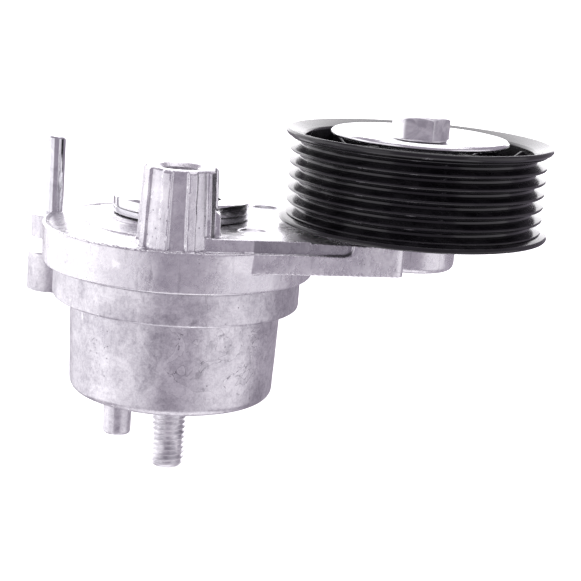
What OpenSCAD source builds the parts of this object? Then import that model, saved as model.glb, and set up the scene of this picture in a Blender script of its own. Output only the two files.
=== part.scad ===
// Automatic belt tensioner: a fixed spring case, a spring-loaded arm and a grooved idler pulley.
// Origin: centre of the case's mounting face. +Z runs up the pivot axis, +X from pivot to pulley.

/* [Spring case] */
// Radius of the drum at its mounting face
drum_foot_r = 28.9; // [28.6:0.1:29.2]
// Radius of the drum under the shoulder ring
drum_top_r = 29.6; // [29.3:0.1:29.9]
// Height of the underside of the shoulder ring
shoulder_z = 26.5; // [25.5:0.5:27.5]
// Radius of the shoulder ring
ring_r = 34.65; // [34.2:0.05:34.8]
// Height of the top of the shoulder ring
ring_top_z = 35.75; // [35.25:0.05:35.8]
// Radius of the rounded bottom edge
foot_round = 2.5; // [2:0.5:4]
// Radius of the cast locating pin
locating_pin_r = 3.9; // [3.5:0.1:4.2]
// Length of the locating pin below the mounting face
locating_pin_len = 10.5; // [8:0.5:14]

/* [Pivot] */
// Outer radius of the pivot shaft
shaft_r = 9; // [8.8:0.1:9.2]
// Running clearance between shaft and bushing, on the radius
shaft_clearance = 0.05; // [0.02:0.01:0.09]
// Thread radius of the mounting bolt
stud_r = 5; // [4:1:5]
// Length of thread below the mounting face
stud_len = 23; // [18:1:30]
// Across-flats size of the mounting bolt's head
mount_bolt_af = 15; // [14:1:16]

/* [Arm] */
// Radius of the arm's disc at the rim
disc_r = 38.05; // [37.9:0.05:38.2]
// Height of the disc's rim
rim_z = 47.2; // [47:0.1:47.4]
// Height of the skirt's lower edge
skirt_z = 36.06; // [36.06:0.02:36.2]
// Height of the arm plate's top face
plate_z = 50.5; // [50.3:0.1:50.6]
// Height of the underside of the arm plate
plate_under_z = 41.6; // [41:0.2:43]
// Distance from pivot axis to pulley axis
arm_len = 64.6; // [64:0.1:66]
// Height of the ribbed accessory boss's top
boss_top_z = 68; // [64:0.25:72]
// Radius of the tapped hole in the ribbed boss, at the thread's minor diameter
boss_bore_r = 5.2; // [4.2:0.1:5.6]
// Number of ribs on the accessory boss
boss_ribs = 9; // [6:1:10]

/* [Pulley] */
// Number of grooves
grooves = 6; // [5:1:6]
// Distance from groove to groove
groove_pitch = 3.56; // [3.4:0.02:3.6]
// Radius over the ribs between the grooves
crest_r = 35.7; // [35.4:0.1:36]
// Depth of a groove
groove_depth = 2.9; // [2.4:0.1:3.1]
// Radius of the upper flange
upper_flange_r = 37; // [36.6:0.1:37.4]
// Radius of the lower flange
lower_flange_r = 37.55; // [37:0.05:37.8]
// Number of stiffening gussets in the pulley
gussets = 12; // [6:1:14]

/* [Bearing and bolt] */
// Bore radius of the bearing
bearing_bore_r = 8.5; // [8.5:0.5:8.5]
// Outer radius of the bearing
bearing_r = 20; // [20:0.5:20]
// Width of the bearing
bearing_w = 12; // [11:1:12]
// Number of balls
balls = 8; // [6:1:8]
// Radius of a ball
ball_r = 3.37; // [3.2:0.01:3.38]
// Radius of the dust cap
cap_r = 24.75; // [24:0.25:25]
// Across-flats size of the pulley bolt's head
pulley_bolt_af = 14; // [13:1:16]

/* [Springs and locking pin] */
// Wire radius of the torsion spring
wire_r = 2.5; // [2:0.1:2.6]
// Number of turns of the torsion spring
spring_turns = 4.75; // [4:0.25:5]
// Radius of the locking pin
lock_pin_r = 2.5; // [2:0.1:2.5]
// Height of the locking pin's top
lock_pin_top_z = 68.5; // [60:0.5:75]

/* [Hidden] */

$fn = 96;

// Case
floor_z = 5;
case_inner_r = 25.9;
spigot_r = 33;
spigot_inner_r = 31;
spigot_top_z = 43.5;
centre_boss_r = 12.5;
centre_boss_z = 10.5;
locating_pin_xy = [-13.8, -12];
shoulder_fillet = 1.4;
lock_xy = [-36.5, 10];
lock_angle = atan2(lock_xy[1], lock_xy[0]);
lock_dist = norm(lock_xy);
case_lug_z = [24.4, 35.6];
case_lug_r = 6.9;
case_neck_w = 10.6;
lock_clearance = 0.06;

// Pivot stack, from the arm's hub upwards
hub_tube_r = 14;
bushing_r = 11.5;
hub_tube_z = 12;
thrust_z = plate_z + 0.1;
retainer_z = thrust_z + 0.7;
friction_z = retainer_z + 1.3;
cap_ring_z = friction_z + 0.5;
cap_ring_top_z = cap_ring_z + 3;
thrust_r = 18.6;
retainer_r = 18.9;
friction_r = 18.6;
shaft_neck_r = 7.6;
shank_clearance = 0.5;
bolt_flange_r = 9.8;

// Arm
skirt_r = 37.76;
skirt_inner_r = 34.8;
arm_ceiling_z = 44;
arm_taper = 11.9;
arm_line = 36.3;
plate_end_x = 61;
plate_corner_r = 2.5;
plate_start_x = 6;
disc_exit_x = 20.6;
ledge_z = rim_z - 0.25;
recess_end_x = 47;
recess_depth = 0.9;
end_boss_r = 12.8;
end_boss_z = 40.4;
spot_face_r = 40.2;
spot_face_z = plate_z - 0.5;
boss_xy = [0.5, -27];
boss_foot_z = arm_ceiling_z + 0.6;
boss_top_r = 9.0;
boss_foot_r = 9.9;
hub_clear_r = 19.8;
rib_proud = 0.9;
rib_w = 2.5;
rib_phase = -18;
bore_chamfer = 1.5;
arm_lug_z = [39.6, 46.2];
arm_lug_r = 6.3;
ejector_marks = [[20.5, -18.2], [23.6, 20.2]];
ejector_r = 4;

// Bearing and pulley
bearing_z = 64.35;
bearing_foot_z = bearing_z - bearing_w / 2;
bearing_top_z = bearing_z + bearing_w / 2;
ball_pitch_r = (bearing_bore_r + bearing_r) / 2;
inner_land_r = 12.2;
outer_land_r = 16.3;
seat_z = bearing_foot_z - 1.35;
cap_foot_z = bearing_top_z + 4.75;
cap_seat_z = cap_foot_z + 1.1;
pulley_bolt_turn = 19;
upper_flange_z = 77.14;
lower_flange_z = 51.5;
flange_edge = 1.6;
groove_flank = 20;
rim_inner_r = 31.2;
hub_r = 23.6;
web_z = [62.6, 66];
gusset_phase = 15;

// Torsion spring
coil_r = 21.3;
coil_foot_z = floor_z + 2;
coil_top_z = 40;
ring_steps = 26;
wire_sides = 10;

// Points of an arc about centre c
function arc(c, r, a0, a1, n = 8) =
    [for (i = [0 : n]) let (a = a0 + (a1 - a0) * i / n) c + r * [cos(a), sin(a)]];

// A ring about the Z axis, from z0 to z1
module ring(r_in, r_out, z0, z1) {
    translate([0, 0, z0]) difference() {
        cylinder(r = r_out, h = z1 - z0);
        translate([0, 0, -1]) cylinder(r = r_in, h = z1 - z0 + 2);
    }
}

// A turned body about the Z axis, from a half section
module turned(points, fn = 96) {
    rotate_extrude($fn = fn) polygon(points);
}

// A hexagonal bolt head with a flange and a chamfered top
module bolt_head(af, flange_r, flange_h, head_h) {
    intersection() {
        union() {
            turned([[0, 0], [flange_r, 0], [flange_r, flange_h * 0.5], [af * 0.5, flange_h], [0, flange_h]]);
            cylinder(d = af / cos(30), h = head_h, $fn = 6);
        }
        turned([[0, -1], [flange_r + 1, -1], [flange_r + 1, flange_h + 0.4], [af * 0.577 + 0.02, flange_h + 0.4],
                [af * 0.577 + 0.02, head_h - 0.9], [af * 0.46, head_h], [0, head_h]]);
    }
}

// ---------------------------------------------------------------- fixed parts

// Half section of the die-cast case: drum, shoulder ring, spigot, floor and centre boss
function case_section() = concat(
    [[shaft_r, 0]],
    arc([drum_foot_r - foot_round, foot_round], foot_round, -90, 0),
    arc([drum_top_r + shoulder_fillet, shoulder_z - shoulder_fillet], shoulder_fillet, 180, 90),
    arc([ring_r - 0.8, shoulder_z + 0.8], 0.8, -90, 0, 5),
    [[ring_r, ring_top_z - 0.4], [ring_r - 0.4, ring_top_z],
     [spigot_r, ring_top_z], [spigot_r, spigot_top_z - 0.5], [spigot_r - 0.5, spigot_top_z],
     [spigot_inner_r, spigot_top_z], [spigot_inner_r, shoulder_z + 5.5], [case_inner_r + 0.4, shoulder_z + 3.5]],
    arc([case_inner_r - 2, floor_z + 2], 2, 0, -90, 5),
    arc([centre_boss_r + 1, floor_z + 1], 1, 270, 180, 4),
    [[centre_boss_r, centre_boss_z - 0.5], [centre_boss_r - 0.5, centre_boss_z], [shaft_r, centre_boss_z]]
);

// Side lug that the locking pin drops into when the arm is held for fitting
module case_lug() {
    difference() {
        union() {
            translate([lock_xy[0], lock_xy[1], case_lug_z[0]])
                cylinder(r = case_lug_r, h = case_lug_z[1] - case_lug_z[0], $fn = 48);
            rotate([0, 0, lock_angle])
                translate([ring_r - 4, -case_neck_w / 2, case_lug_z[0] + 0.3])
                    cube([lock_dist - ring_r + 1.2, case_neck_w, case_lug_z[1] - case_lug_z[0] - 0.6]);
            for (side = [-1, 0, 1])
                rotate([0, 0, lock_angle])
                    translate([lock_dist + 4.6, side * 3.1 - 0.7, case_lug_z[0]])
                        cube([case_lug_r - 4.6 + 0.4 - abs(side) * 1.2, 1.4, case_lug_z[1] - case_lug_z[0] - 2]);
        }
        translate([lock_xy[0], lock_xy[1], case_lug_z[0] - 1])
            cylinder(r = lock_pin_r + lock_clearance, h = 20, $fn = 48);
        cylinder(r = spigot_inner_r + 1, h = 50);
    }
}

// Die-cast aluminium case with its lug, locating pin and spring stop
module spring_case() {
    color("gainsboro") {
        turned(case_section(), 128);
        case_lug();
        translate([locating_pin_xy[0], locating_pin_xy[1], 0])
            turned(concat([[0, floor_z - 1], [0, -locating_pin_len]],
                          arc([locating_pin_r - 0.8, 0.8 - locating_pin_len], 0.8, -90, 0, 4),
                          [[locating_pin_r, floor_z - 1]]), 48);
        rotate([0, 0, 60]) translate([coil_r + 2.2, -1.5, floor_z - 0.5]) cube([3.5, 3, 8]);
    }
}

// Moulded seat under the torsion spring
module lower_spring_seat() {
    color("dimgray") ring(centre_boss_r + 4.5, coil_r + 2.4, floor_z, coil_foot_z);
}

// Round wire coil between case and arm
function coil_point(t) =
    let (rise = coil_top_z - coil_foot_z - 2 * wire_r, turn = 360 * spring_turns * t)
    [coil_r * cos(turn), coil_r * sin(turn), coil_foot_z + wire_r + rise * t];
coil_rings = floor(ring_steps * spring_turns);
module torsion_spring() {
    points = [for (i = [0 : coil_rings], k = [0 : wire_sides - 1])
        let (t = i / coil_rings, c = coil_point(t), turn = 360 * spring_turns * t, a = 360 * k / wire_sides)
        c + wire_r * [cos(a) * cos(turn), cos(a) * sin(turn), sin(a)]];
    walls = [for (i = [0 : coil_rings - 1], k = [0 : wire_sides - 1])
        let (n = (k + 1) % wire_sides)
        [i * wire_sides + k, (i + 1) * wire_sides + k, (i + 1) * wire_sides + n, i * wire_sides + n]];
    ends = [[for (k = [0 : wire_sides - 1]) k],
            [for (k = [wire_sides - 1 : -1 : 0]) coil_rings * wire_sides + k]];
    color("slategray") polyhedron(points = points, faces = concat(walls, ends), convexity = 10);
}

// Hollow steel shaft pressed into the case
module pivot_shaft() {
    color("silver") difference() {
        union() {
            translate([0, 0, 1]) cylinder(r = shaft_r, h = retainer_z - 1);
            translate([0, 0, retainer_z - 0.5]) cylinder(r = shaft_neck_r, h = friction_z - retainer_z + 0.5);
        }
        translate([0, 0, -1]) cylinder(r = stud_r + shank_clearance, h = 70);
    }
}

// Long bolt through the pivot, threaded where it stands out under the case
module mounting_bolt() {
    color("gainsboro") {
        turned([[0, -stud_len], [stud_r - 1, -stud_len], [stud_r, 1 - stud_len], [stud_r, 0],
                [stud_r - 0.2, 0.4], [stud_r - 0.2, friction_z + 0.5], [0, friction_z + 0.5]], 64);
        translate([0, 0, friction_z]) rotate([0, 0, 12]) bolt_head(mount_bolt_af, bolt_flange_r, 1.6, 7.4);
    }
}

// Steel plate riveted on the shaft's neck, which holds the arm down
module retainer_plate() {
    color("silver") ring(shaft_neck_r, retainer_r, retainer_z, friction_z);
}

// Thin dark disc between retainer plate and cap
module friction_disc() {
    color("#26262c") ring(bolt_flange_r + 1.1, friction_r, friction_z, cap_ring_z);
}

// Bright turned cap on top of the hub, with a well for the mounting bolt's head
module hub_cap() {
    color("gainsboro") turned([[bolt_flange_r + 1.1, cap_ring_z], [18.5, cap_ring_z], [18.9, cap_ring_z + 0.4],
        [18.9, cap_ring_top_z - 0.7], [18.2, cap_ring_top_z], [bolt_flange_r + 1.8, cap_ring_top_z - 0.2],
        [bolt_flange_r + 1.1, cap_ring_top_z - 0.9]]);
}

// Low-friction washer on which the arm's hub turns
module thrust_washer() {
    color("#303036") ring(shaft_r + shaft_clearance, thrust_r, thrust_z, retainer_z);
}

// Seal ring in the gap between the case's spigot and the arm's skirt
module dust_seal() {
    color("#26262c") ring(spigot_r, ring_r - 0.3, ring_top_z, ring_top_z + 1.8);
}

// ---------------------------------------------------------------- arm and what is fixed to it

// Front or back edge of the arm plate at distance x from the pivot
function arm_edge(x) = arm_line - x * tan(arm_taper);

// Outline of the arm plate, tapering from the disc to a square end with rounded corners
function arm_outline(inset = 0) =
    let (cx = plate_end_x - plate_corner_r - inset, r = plate_corner_r,
         cy = arm_edge(cx) - inset / cos(arm_taper) - r / cos(arm_taper))
    concat([[0, -arm_line + inset]], arc([cx, -cy], r, arm_taper - 90, 0, 6),
           arc([cx, cy], r, 0, 90 - arm_taper, 6), [[0, arm_line - inset]]);

// Shallow band along one wall of the arm plate, above the ledge; side is -1 in front, 1 at the back
module wall_recess(side) {
    len_x = recess_end_x / cos(arm_taper);
    mirror([0, side > 0 ? 1 : 0, 0])
        translate([0, -arm_line, 0]) rotate([0, 0, arm_taper])
            translate([0, recess_depth, 0]) rotate([90, 0, 0])
                linear_extrude(height = 8)
                    polygon(concat([[6, ledge_z]], arc([len_x - 2.6, ledge_z + 2.6], 2.6, -90, 0, 6),
                                   [[len_x, plate_z + 2], [6, plate_z + 2]]));
}

// Half section of the skirt, disc and hub tube
function disc_section() = concat(
    [[bushing_r, hub_tube_z], [hub_tube_r - 0.5, hub_tube_z], [hub_tube_r, hub_tube_z + 0.5]],
    arc([hub_tube_r + 2, arm_ceiling_z - 2], 2, 180, 90, 5),
    arc([skirt_inner_r - 1.5, arm_ceiling_z - 1.5], 1.5, 90, 0, 4),
    [[skirt_inner_r, skirt_z]],
    arc([skirt_r - 0.6, skirt_z + 0.6], 0.6, -90, 0, 4),
    [[disc_r, rim_z - 0.4], [disc_r - 0.4, rim_z], [disc_r - 1.1, rim_z], [disc_r - 1.4, rim_z - 0.5],
     [27.3, 48.1], [27, 48.6], [20.6, 49.4], [20.2, plate_z], [bushing_r, plate_z]]
);

// One vertical rib of the accessory boss, with the boss's own draft
module boss_rib(angle) {
    rotate([0, 0, angle - 90]) translate([0, rib_w / 2, 0]) rotate([90, 0, 0])
        linear_extrude(height = rib_w)
            polygon([[8, rim_z - 1], [boss_foot_r + rib_proud, rim_z - 1],
                     [boss_top_r + rib_proud, boss_top_z - 0.8], [boss_top_r + 0.1, boss_top_z], [8, boss_top_z]]);
}

// Ribbed boss with a tapped hole, at the front of the disc
module accessory_boss() {
    translate([boss_xy[0], boss_xy[1], 0]) {
        turned([[0, boss_foot_z], [boss_foot_r + 0.6, boss_foot_z], [boss_foot_r + 0.6, rim_z - 1],
                [boss_foot_r, rim_z + 0.6], [boss_top_r, boss_top_z - 0.5], [boss_top_r - 0.5, boss_top_z],
                [0, boss_top_z]], 64);
        for (i = [0 : boss_ribs - 1]) boss_rib(rib_phase + i * 360 / boss_ribs);
        translate([boss_foot_r - 1.6, -1.8, plate_z - 2]) rotate([90, 0, 0]) mirror([0, 0, 1])
            linear_extrude(height = 3.4)
                polygon([[-3, 0], [3.2, 0], [2.7, 7.4], [0.6, 9.2], [-3, 9.2]]);
    }
}

// Solid parts of the arm plate and the end boss that carries the pulley
module arm_plate() {
    difference() {
        union() {
            translate([0, 0, plate_under_z])
                linear_extrude(height = plate_z - plate_under_z) polygon(arm_outline());
            translate([arm_len, 0, 0])
                turned(concat([[0, end_boss_z]], arc([end_boss_r - 2, end_boss_z + 2], 2, -90, 0, 5),
                    [[end_boss_r, plate_z - 0.5], [end_boss_r - 0.5, plate_z],
                     [11.6, plate_z], [11, seat_z - 0.6], [10.4, seat_z], [0, seat_z]]), 72);
        }
        translate([0, 0, ledge_z]) difference() {
            translate([-50, -50, 0]) cube([50 + disc_exit_x, 100, 20]);
            cylinder(r = disc_r - recess_depth, h = 20);
        }
        for (side = [-1, 1]) wall_recess(side);
        translate([0, 60, 0]) rotate([90, 0, 0]) linear_extrude(height = 120)
            polygon([[-50, rim_z - 1.5], [plate_start_x - 5.5, rim_z - 1.5], [plate_start_x + 1, plate_z + 1],
                     [-50, plate_z + 1]]);
    }
}

// Cast hollow under the arm plate, split by a central rib
module plate_pocket() {
    wall = 4;
    difference() {
        translate([0, 0, plate_under_z - 1]) linear_extrude(height = 6)
            polygon([[skirt_r + 4, -arm_edge(skirt_r) + wall], [plate_end_x - wall, -arm_edge(plate_end_x) + wall],
                     [plate_end_x - wall, arm_edge(plate_end_x) - wall], [skirt_r + 4, arm_edge(skirt_r) - wall]]);
        translate([arm_len, 0, 0]) cylinder(r = end_boss_r + 0.01, h = 60);
        translate([0, -2, 0]) cube([plate_end_x, 4, 60]);
    }
}

// Die-cast aluminium arm: skirt, disc, hub, plate, end boss, ribbed boss and locking lug
module tensioner_arm() {
    color("lightgray") difference() {
        union() {
            difference() {
                union() {
                    turned(disc_section(), 128);
                    difference() {
                        arm_plate();
                        translate([0, 0, -1]) cylinder(r = skirt_r - 1, h = arm_ceiling_z + 2.5);
                        cylinder(r = 20.4, h = 80);
                    }
                }
                translate([arm_len, 0, spot_face_z])
                    ring(end_boss_r, spot_face_r, 0, 5);
                for (p = ejector_marks) translate([p[0], p[1], plate_z - 0.6]) cylinder(r = ejector_r, h = 3);
            }
            difference() {
                accessory_boss();
                cylinder(r = hub_clear_r, h = 90);
            }
            translate([lock_xy[0], lock_xy[1], arm_lug_z[0]])
                difference() {
                    cylinder(r = arm_lug_r, h = arm_lug_z[1] - arm_lug_z[0], $fn = 64);
                    translate([-lock_xy[0], -lock_xy[1], -1]) cylinder(r = skirt_inner_r + 1, h = 30);
                }
        }
        plate_pocket();
        translate([boss_xy[0], boss_xy[1], arm_ceiling_z + 1]) cylinder(r = boss_bore_r, h = 40, $fn = 64);
        translate([boss_xy[0], boss_xy[1], boss_top_z - bore_chamfer])
            cylinder(r1 = boss_bore_r, r2 = boss_bore_r + bore_chamfer + 0.05, h = bore_chamfer + 0.05, $fn = 64);
        translate([arm_len, 0, end_boss_z + 2]) cylinder(r = stud_r, h = 40, $fn = 64);
        translate([lock_xy[0], lock_xy[1], 30]) cylinder(r = lock_pin_r + lock_clearance, h = 30, $fn = 48);
    }
}

// Plain bushing between the arm's hub and the pivot shaft
module pivot_bushing() {
    color("goldenrod") ring(shaft_r + shaft_clearance, bushing_r, hub_tube_z, plate_z);
}

// Moulded seat over the torsion spring
module upper_spring_seat() {
    color("dimgray") ring(hub_tube_r + 2.1, coil_r + 4.4, coil_top_z, arm_ceiling_z);
}

// Open ring of friction material that rubs inside the case's spigot
module damping_shoe() {
    color("#3a3a32") difference() {
        ring(28.2, spigot_inner_r - 0.3, 36.5, arm_ceiling_z - 0.6);
        rotate([0, 0, 100]) translate([20, -3, 30]) cube([20, 6, 20]);
    }
}

// Open steel band that presses the damping shoe outwards
module damper_spring_band() {
    color("steelblue") difference() {
        ring(27.2, 28.2, 37.2, arm_ceiling_z - 1.2);
        rotate([0, 0, 100]) translate([20, -3, 30]) cube([20, 6, 20]);
    }
}

// A part on the pulley's axis, placed on the arm
module on_pulley_axis() {
    translate([arm_len, 0, 0]) children();
}

// Washer between the arm's seat and the bearing
module spacer_washer() {
    color("silver") on_pulley_axis() ring(stud_r + 0.2, 11.6, seat_z, bearing_foot_z);
}

// Steel sleeve that takes the bolt's clamping load through the bearing
module bearing_sleeve() {
    color("silver") on_pulley_axis() ring(stud_r + 0.2, bearing_bore_r, bearing_foot_z, bearing_top_z);
}

// Inner bearing ring with its ball track
module bearing_inner_ring() {
    color("lightsteelblue") on_pulley_axis() turned(concat(
        [[bearing_bore_r, bearing_foot_z], [inner_land_r, bearing_foot_z]],
        arc([ball_pitch_r, bearing_z], ball_r + 0.1, 232, 128, 12),
        [[inner_land_r, bearing_top_z], [bearing_bore_r, bearing_top_z]]));
}

// Spacer between the bearing and the dust cap
module cap_spacer() {
    color("silver") on_pulley_axis() ring(stud_r + 0.2, 11.4, bearing_top_z, cap_foot_z);
}

// Pressed steel cap over the bearing and the pulley's recess
module dust_cap() {
    color("whitesmoke") on_pulley_axis() turned([
        [stud_r + 0.2, cap_foot_z], [14, cap_foot_z], [cap_r - 2.2, cap_foot_z + 1.2], [cap_r - 0.4, cap_foot_z + 1.0],
        [cap_r, cap_foot_z + 1.3], [cap_r - 0.1, cap_foot_z + 1.9], [cap_r - 0.7, cap_foot_z + 2.5],
        [cap_r - 1.6, cap_foot_z + 2.7], [cap_r - 3, cap_foot_z + 2.5], [14, cap_seat_z + 0.2],
        [12, cap_seat_z], [stud_r + 0.2, cap_seat_z]], 128);
}

// Bolt that clamps cap, bearing and spacers to the arm
module pulley_bolt() {
    color("whitesmoke") on_pulley_axis() {
        turned([[0, end_boss_z + 2.5], [stud_r - 1, end_boss_z + 2.5], [stud_r, end_boss_z + 3.5],
                [stud_r, cap_seat_z + 0.5], [0, cap_seat_z + 0.5]], 64);
        translate([0, 0, cap_seat_z]) rotate([0, 0, pulley_bolt_turn]) bolt_head(pulley_bolt_af, 7.6, 0.6, 6.7);
    }
}

// Pin that holds the arm while the tensioner is fitted, then is pulled out
module locking_pin() {
    foot_z = case_lug_z[1] + 0.3;
    color("silver") translate([lock_xy[0], lock_xy[1], 0])
        turned([[0, foot_z], [lock_pin_r - 0.5, foot_z], [lock_pin_r, foot_z + 0.5],
                [lock_pin_r, lock_pin_top_z - 0.3], [lock_pin_r - 0.3, lock_pin_top_z], [0, lock_pin_top_z]], 48);
}

// ---------------------------------------------------------------- pulley and bearing

// One groove of the belt track, as points running up the outside
function groove_points(zc) =
    let (mouth = groove_depth * tan(groove_flank), root = groove_pitch / 2 - 0.35 - mouth)
    [[crest_r - 0.15, zc - groove_pitch / 2 + 0.12], [crest_r - 0.35, zc - root - mouth],
     [crest_r - groove_depth, zc - root], [crest_r - groove_depth, zc + root],
     [crest_r - 0.35, zc + root + mouth], [crest_r - 0.15, zc + groove_pitch / 2 - 0.12]];

// Half section of the pulley: hub, web, rim with its grooves, and two flanges
function pulley_section() =
    let (track_foot = bearing_z - grooves * groove_pitch / 2, track_top = bearing_z + grooves * groove_pitch / 2)
    concat(
        [[bearing_r, bearing_foot_z - 0.8], [hub_r + 0.4, bearing_foot_z - 0.8], [hub_r, web_z[0] - 0.6],
         [hub_r + 0.6, web_z[0]], [rim_inner_r - 0.6, web_z[0]], [rim_inner_r, web_z[0] - 0.6],
         [rim_inner_r + 0.7, lower_flange_z + 1.8], [lower_flange_r - 2.6, lower_flange_z + 0.6],
         [lower_flange_r - 0.5, lower_flange_z], [lower_flange_r, lower_flange_z + 0.4],
         [lower_flange_r - 0.1, lower_flange_z + 1.1], [lower_flange_r - 0.7, lower_flange_z + 1.4],
         [crest_r - 0.6, track_foot - 0.1]],
        [for (i = [0 : grooves - 1]) each groove_points(track_foot + (i + 0.5) * groove_pitch)],
        [[crest_r - 0.6, track_top + 0.1], [upper_flange_r - 0.5, upper_flange_z - flange_edge - 0.1],
         [upper_flange_r, upper_flange_z - flange_edge + 0.3], [upper_flange_r, upper_flange_z - 0.4],
         [upper_flange_r - 0.4, upper_flange_z], [32.2, 75.5], [rim_inner_r + 0.4, 75],
         [rim_inner_r, web_z[1] + 0.6], [rim_inner_r - 0.6, web_z[1]],
         [hub_r + 0.6, web_z[1]], [hub_r, web_z[1] + 0.6], [hub_r - 0.4, bearing_top_z + 0.8],
         [bearing_r - 0.6, bearing_top_z + 0.8], [bearing_r - 0.6, bearing_top_z], [bearing_r, bearing_top_z]]);

// One thin gusset between hub and rim, above and below the web
module pulley_gusset() {
    rotate([90, 0, 0]) translate([0, 0, -0.6]) linear_extrude(height = 1.2) {
        polygon([[hub_r - 1, web_z[1] - 1], [rim_inner_r + 1, web_z[1] - 1], [rim_inner_r + 1, 74.2],
                 [rim_inner_r, 74.2], [hub_r - 0.4, 70.6], [hub_r - 1, 70.6]]);
        polygon([[hub_r - 1, web_z[0] + 1], [rim_inner_r + 1, web_z[0] + 1], [rim_inner_r + 1, 54.5],
                 [rim_inner_r, 54.5], [hub_r - 0.4, 58.2], [hub_r - 1, 58.2]]);
    }
}

// Moulded pulley with the bearing's outer ring moulded in
module grooved_pulley() {
    color("#1b1b20") on_pulley_axis() {
        turned(pulley_section(), 128);
        for (i = [0 : gussets - 1]) rotate([0, 0, gusset_phase + i * 360 / gussets]) pulley_gusset();
    }
}

// Outer bearing ring with its ball track
module bearing_outer_ring() {
    color("lightsteelblue") on_pulley_axis() turned(concat(
        [[outer_land_r, bearing_foot_z], [bearing_r, bearing_foot_z], [bearing_r, bearing_top_z],
         [outer_land_r, bearing_top_z]],
        arc([ball_pitch_r, bearing_z], ball_r + 0.1, 52, -52, 12)));
}

// Thin seal between the two bearing rings
module bearing_seal(z0) {
    color("#303036") on_pulley_axis() ring(inner_land_r + 0.1, outer_land_r, z0, z0 + 0.8);
}
module bearing_seal_top() {
    bearing_seal(bearing_top_z - 1.2);
}
module bearing_seal_bottom() {
    bearing_seal(bearing_foot_z + 0.4);
}

// Places a child at every ball
module at_balls() {
    on_pulley_axis() for (i = [0 : balls - 1])
        rotate([0, 0, i * 360 / balls]) translate([ball_pitch_r, 0, bearing_z]) children();
}

// Moulded cage that keeps the balls apart
module bearing_cage() {
    color("peru") difference() {
        on_pulley_axis() ring(ball_pitch_r - 1.2, ball_pitch_r + 1.2, bearing_z - 2.2, bearing_z + 4.4);
        at_balls() sphere(r = ball_r + 0.1, $fn = 48);
    }
}

// Steel balls between the two rings
module bearing_balls() {
    color("white") at_balls() sphere(r = ball_r, $fn = 48);
}

spring_case();
lower_spring_seat();
torsion_spring();
pivot_shaft();
mounting_bolt();
retainer_plate();
friction_disc();
hub_cap();
thrust_washer();
dust_seal();
tensioner_arm();
pivot_bushing();
upper_spring_seat();
damping_shoe();
damper_spring_band();
spacer_washer();
bearing_sleeve();
bearing_inner_ring();
cap_spacer();
dust_cap();
pulley_bolt();
locking_pin();
grooved_pulley();
bearing_outer_ring();
bearing_seal_top();
bearing_seal_bottom();
bearing_cage();
bearing_balls();
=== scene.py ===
"""Automatic belt tensioner: the looks of its parts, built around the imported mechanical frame.

The classes hold lengths in millimetres, which become metres when a mesh is made; only the studio's lights
and floor are given in metres. +Z runs up the pivot axis and +X runs from the pivot to the pulley. Each
sub-assembly is a class with its sizes as fields and methods that build its pieces. The finishes come from
one paintshop.
"""

import sys
import logging
import math
from dataclasses import dataclass
from enum import Enum
from typing import Callable, Iterable, Sequence, Union

import bmesh
import bpy
import numpy as np
from mathutils import Matrix, Vector


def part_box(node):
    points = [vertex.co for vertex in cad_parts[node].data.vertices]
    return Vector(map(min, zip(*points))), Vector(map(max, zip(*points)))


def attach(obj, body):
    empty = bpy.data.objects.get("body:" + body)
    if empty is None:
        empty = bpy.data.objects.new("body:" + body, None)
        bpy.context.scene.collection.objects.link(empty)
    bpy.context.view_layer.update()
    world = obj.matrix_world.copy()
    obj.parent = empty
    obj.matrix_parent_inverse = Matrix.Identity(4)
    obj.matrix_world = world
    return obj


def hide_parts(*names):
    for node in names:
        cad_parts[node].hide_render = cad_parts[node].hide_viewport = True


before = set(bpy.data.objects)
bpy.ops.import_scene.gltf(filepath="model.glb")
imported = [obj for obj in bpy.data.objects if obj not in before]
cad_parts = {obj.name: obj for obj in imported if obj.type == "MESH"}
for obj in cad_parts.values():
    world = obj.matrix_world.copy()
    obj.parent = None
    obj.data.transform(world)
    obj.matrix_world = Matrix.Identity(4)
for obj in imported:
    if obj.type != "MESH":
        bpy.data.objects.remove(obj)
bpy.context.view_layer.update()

MM = 0.001
MERGE_GAP = 1e-6
log = logging.getLogger("belt_tensioner")

RGB = tuple[float, float, float]
XYZ = tuple[float, float, float]
XY = tuple[float, float]
Corner = tuple[float, float, float]
Value = Union["Wire", float]
Piece, Mesh, Material = bpy.types.Object, bpy.types.Mesh, bpy.types.Material
Tree, Socket = bpy.types.NodeTree, bpy.types.NodeSocket


class Body(Enum):
    """The bodies of the mechanism that a piece can ride on."""

    CASE = "fixed_case"
    ARM = "swing_arm"
    PIN = "pull_pin"
    IDLER = "idler"
    BALLS = "ball_set"


class Slot(Enum):
    """The record's material slots."""

    CASE_CASTING = "case_casting"
    ARM_CASTING = "arm_casting"
    BRIGHT_CAP = "bright_cap"
    ZINC_BOLT = "zinc_bolt"
    MACHINED_STEEL = "machined_steel"
    GROUND_PIN = "ground_pin"
    SPRING_STEEL = "spring_steel"
    BEARING_STEEL = "bearing_steel"
    PULLEY_POLYMER = "pulley_polymer"
    BLACK_FRICTION = "black_friction"
    SEAT_POLYMER = "seat_polymer"
    SHOE_POLYMER = "shoe_polymer"
    BUSHING_POLYMER = "bushing_polymer"
    CAGE_POLYMER = "cage_polymer"
    SEAL_RUBBER = "seal_rubber"


# ---------------------------------------------------------------- values that run through node trees


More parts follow.
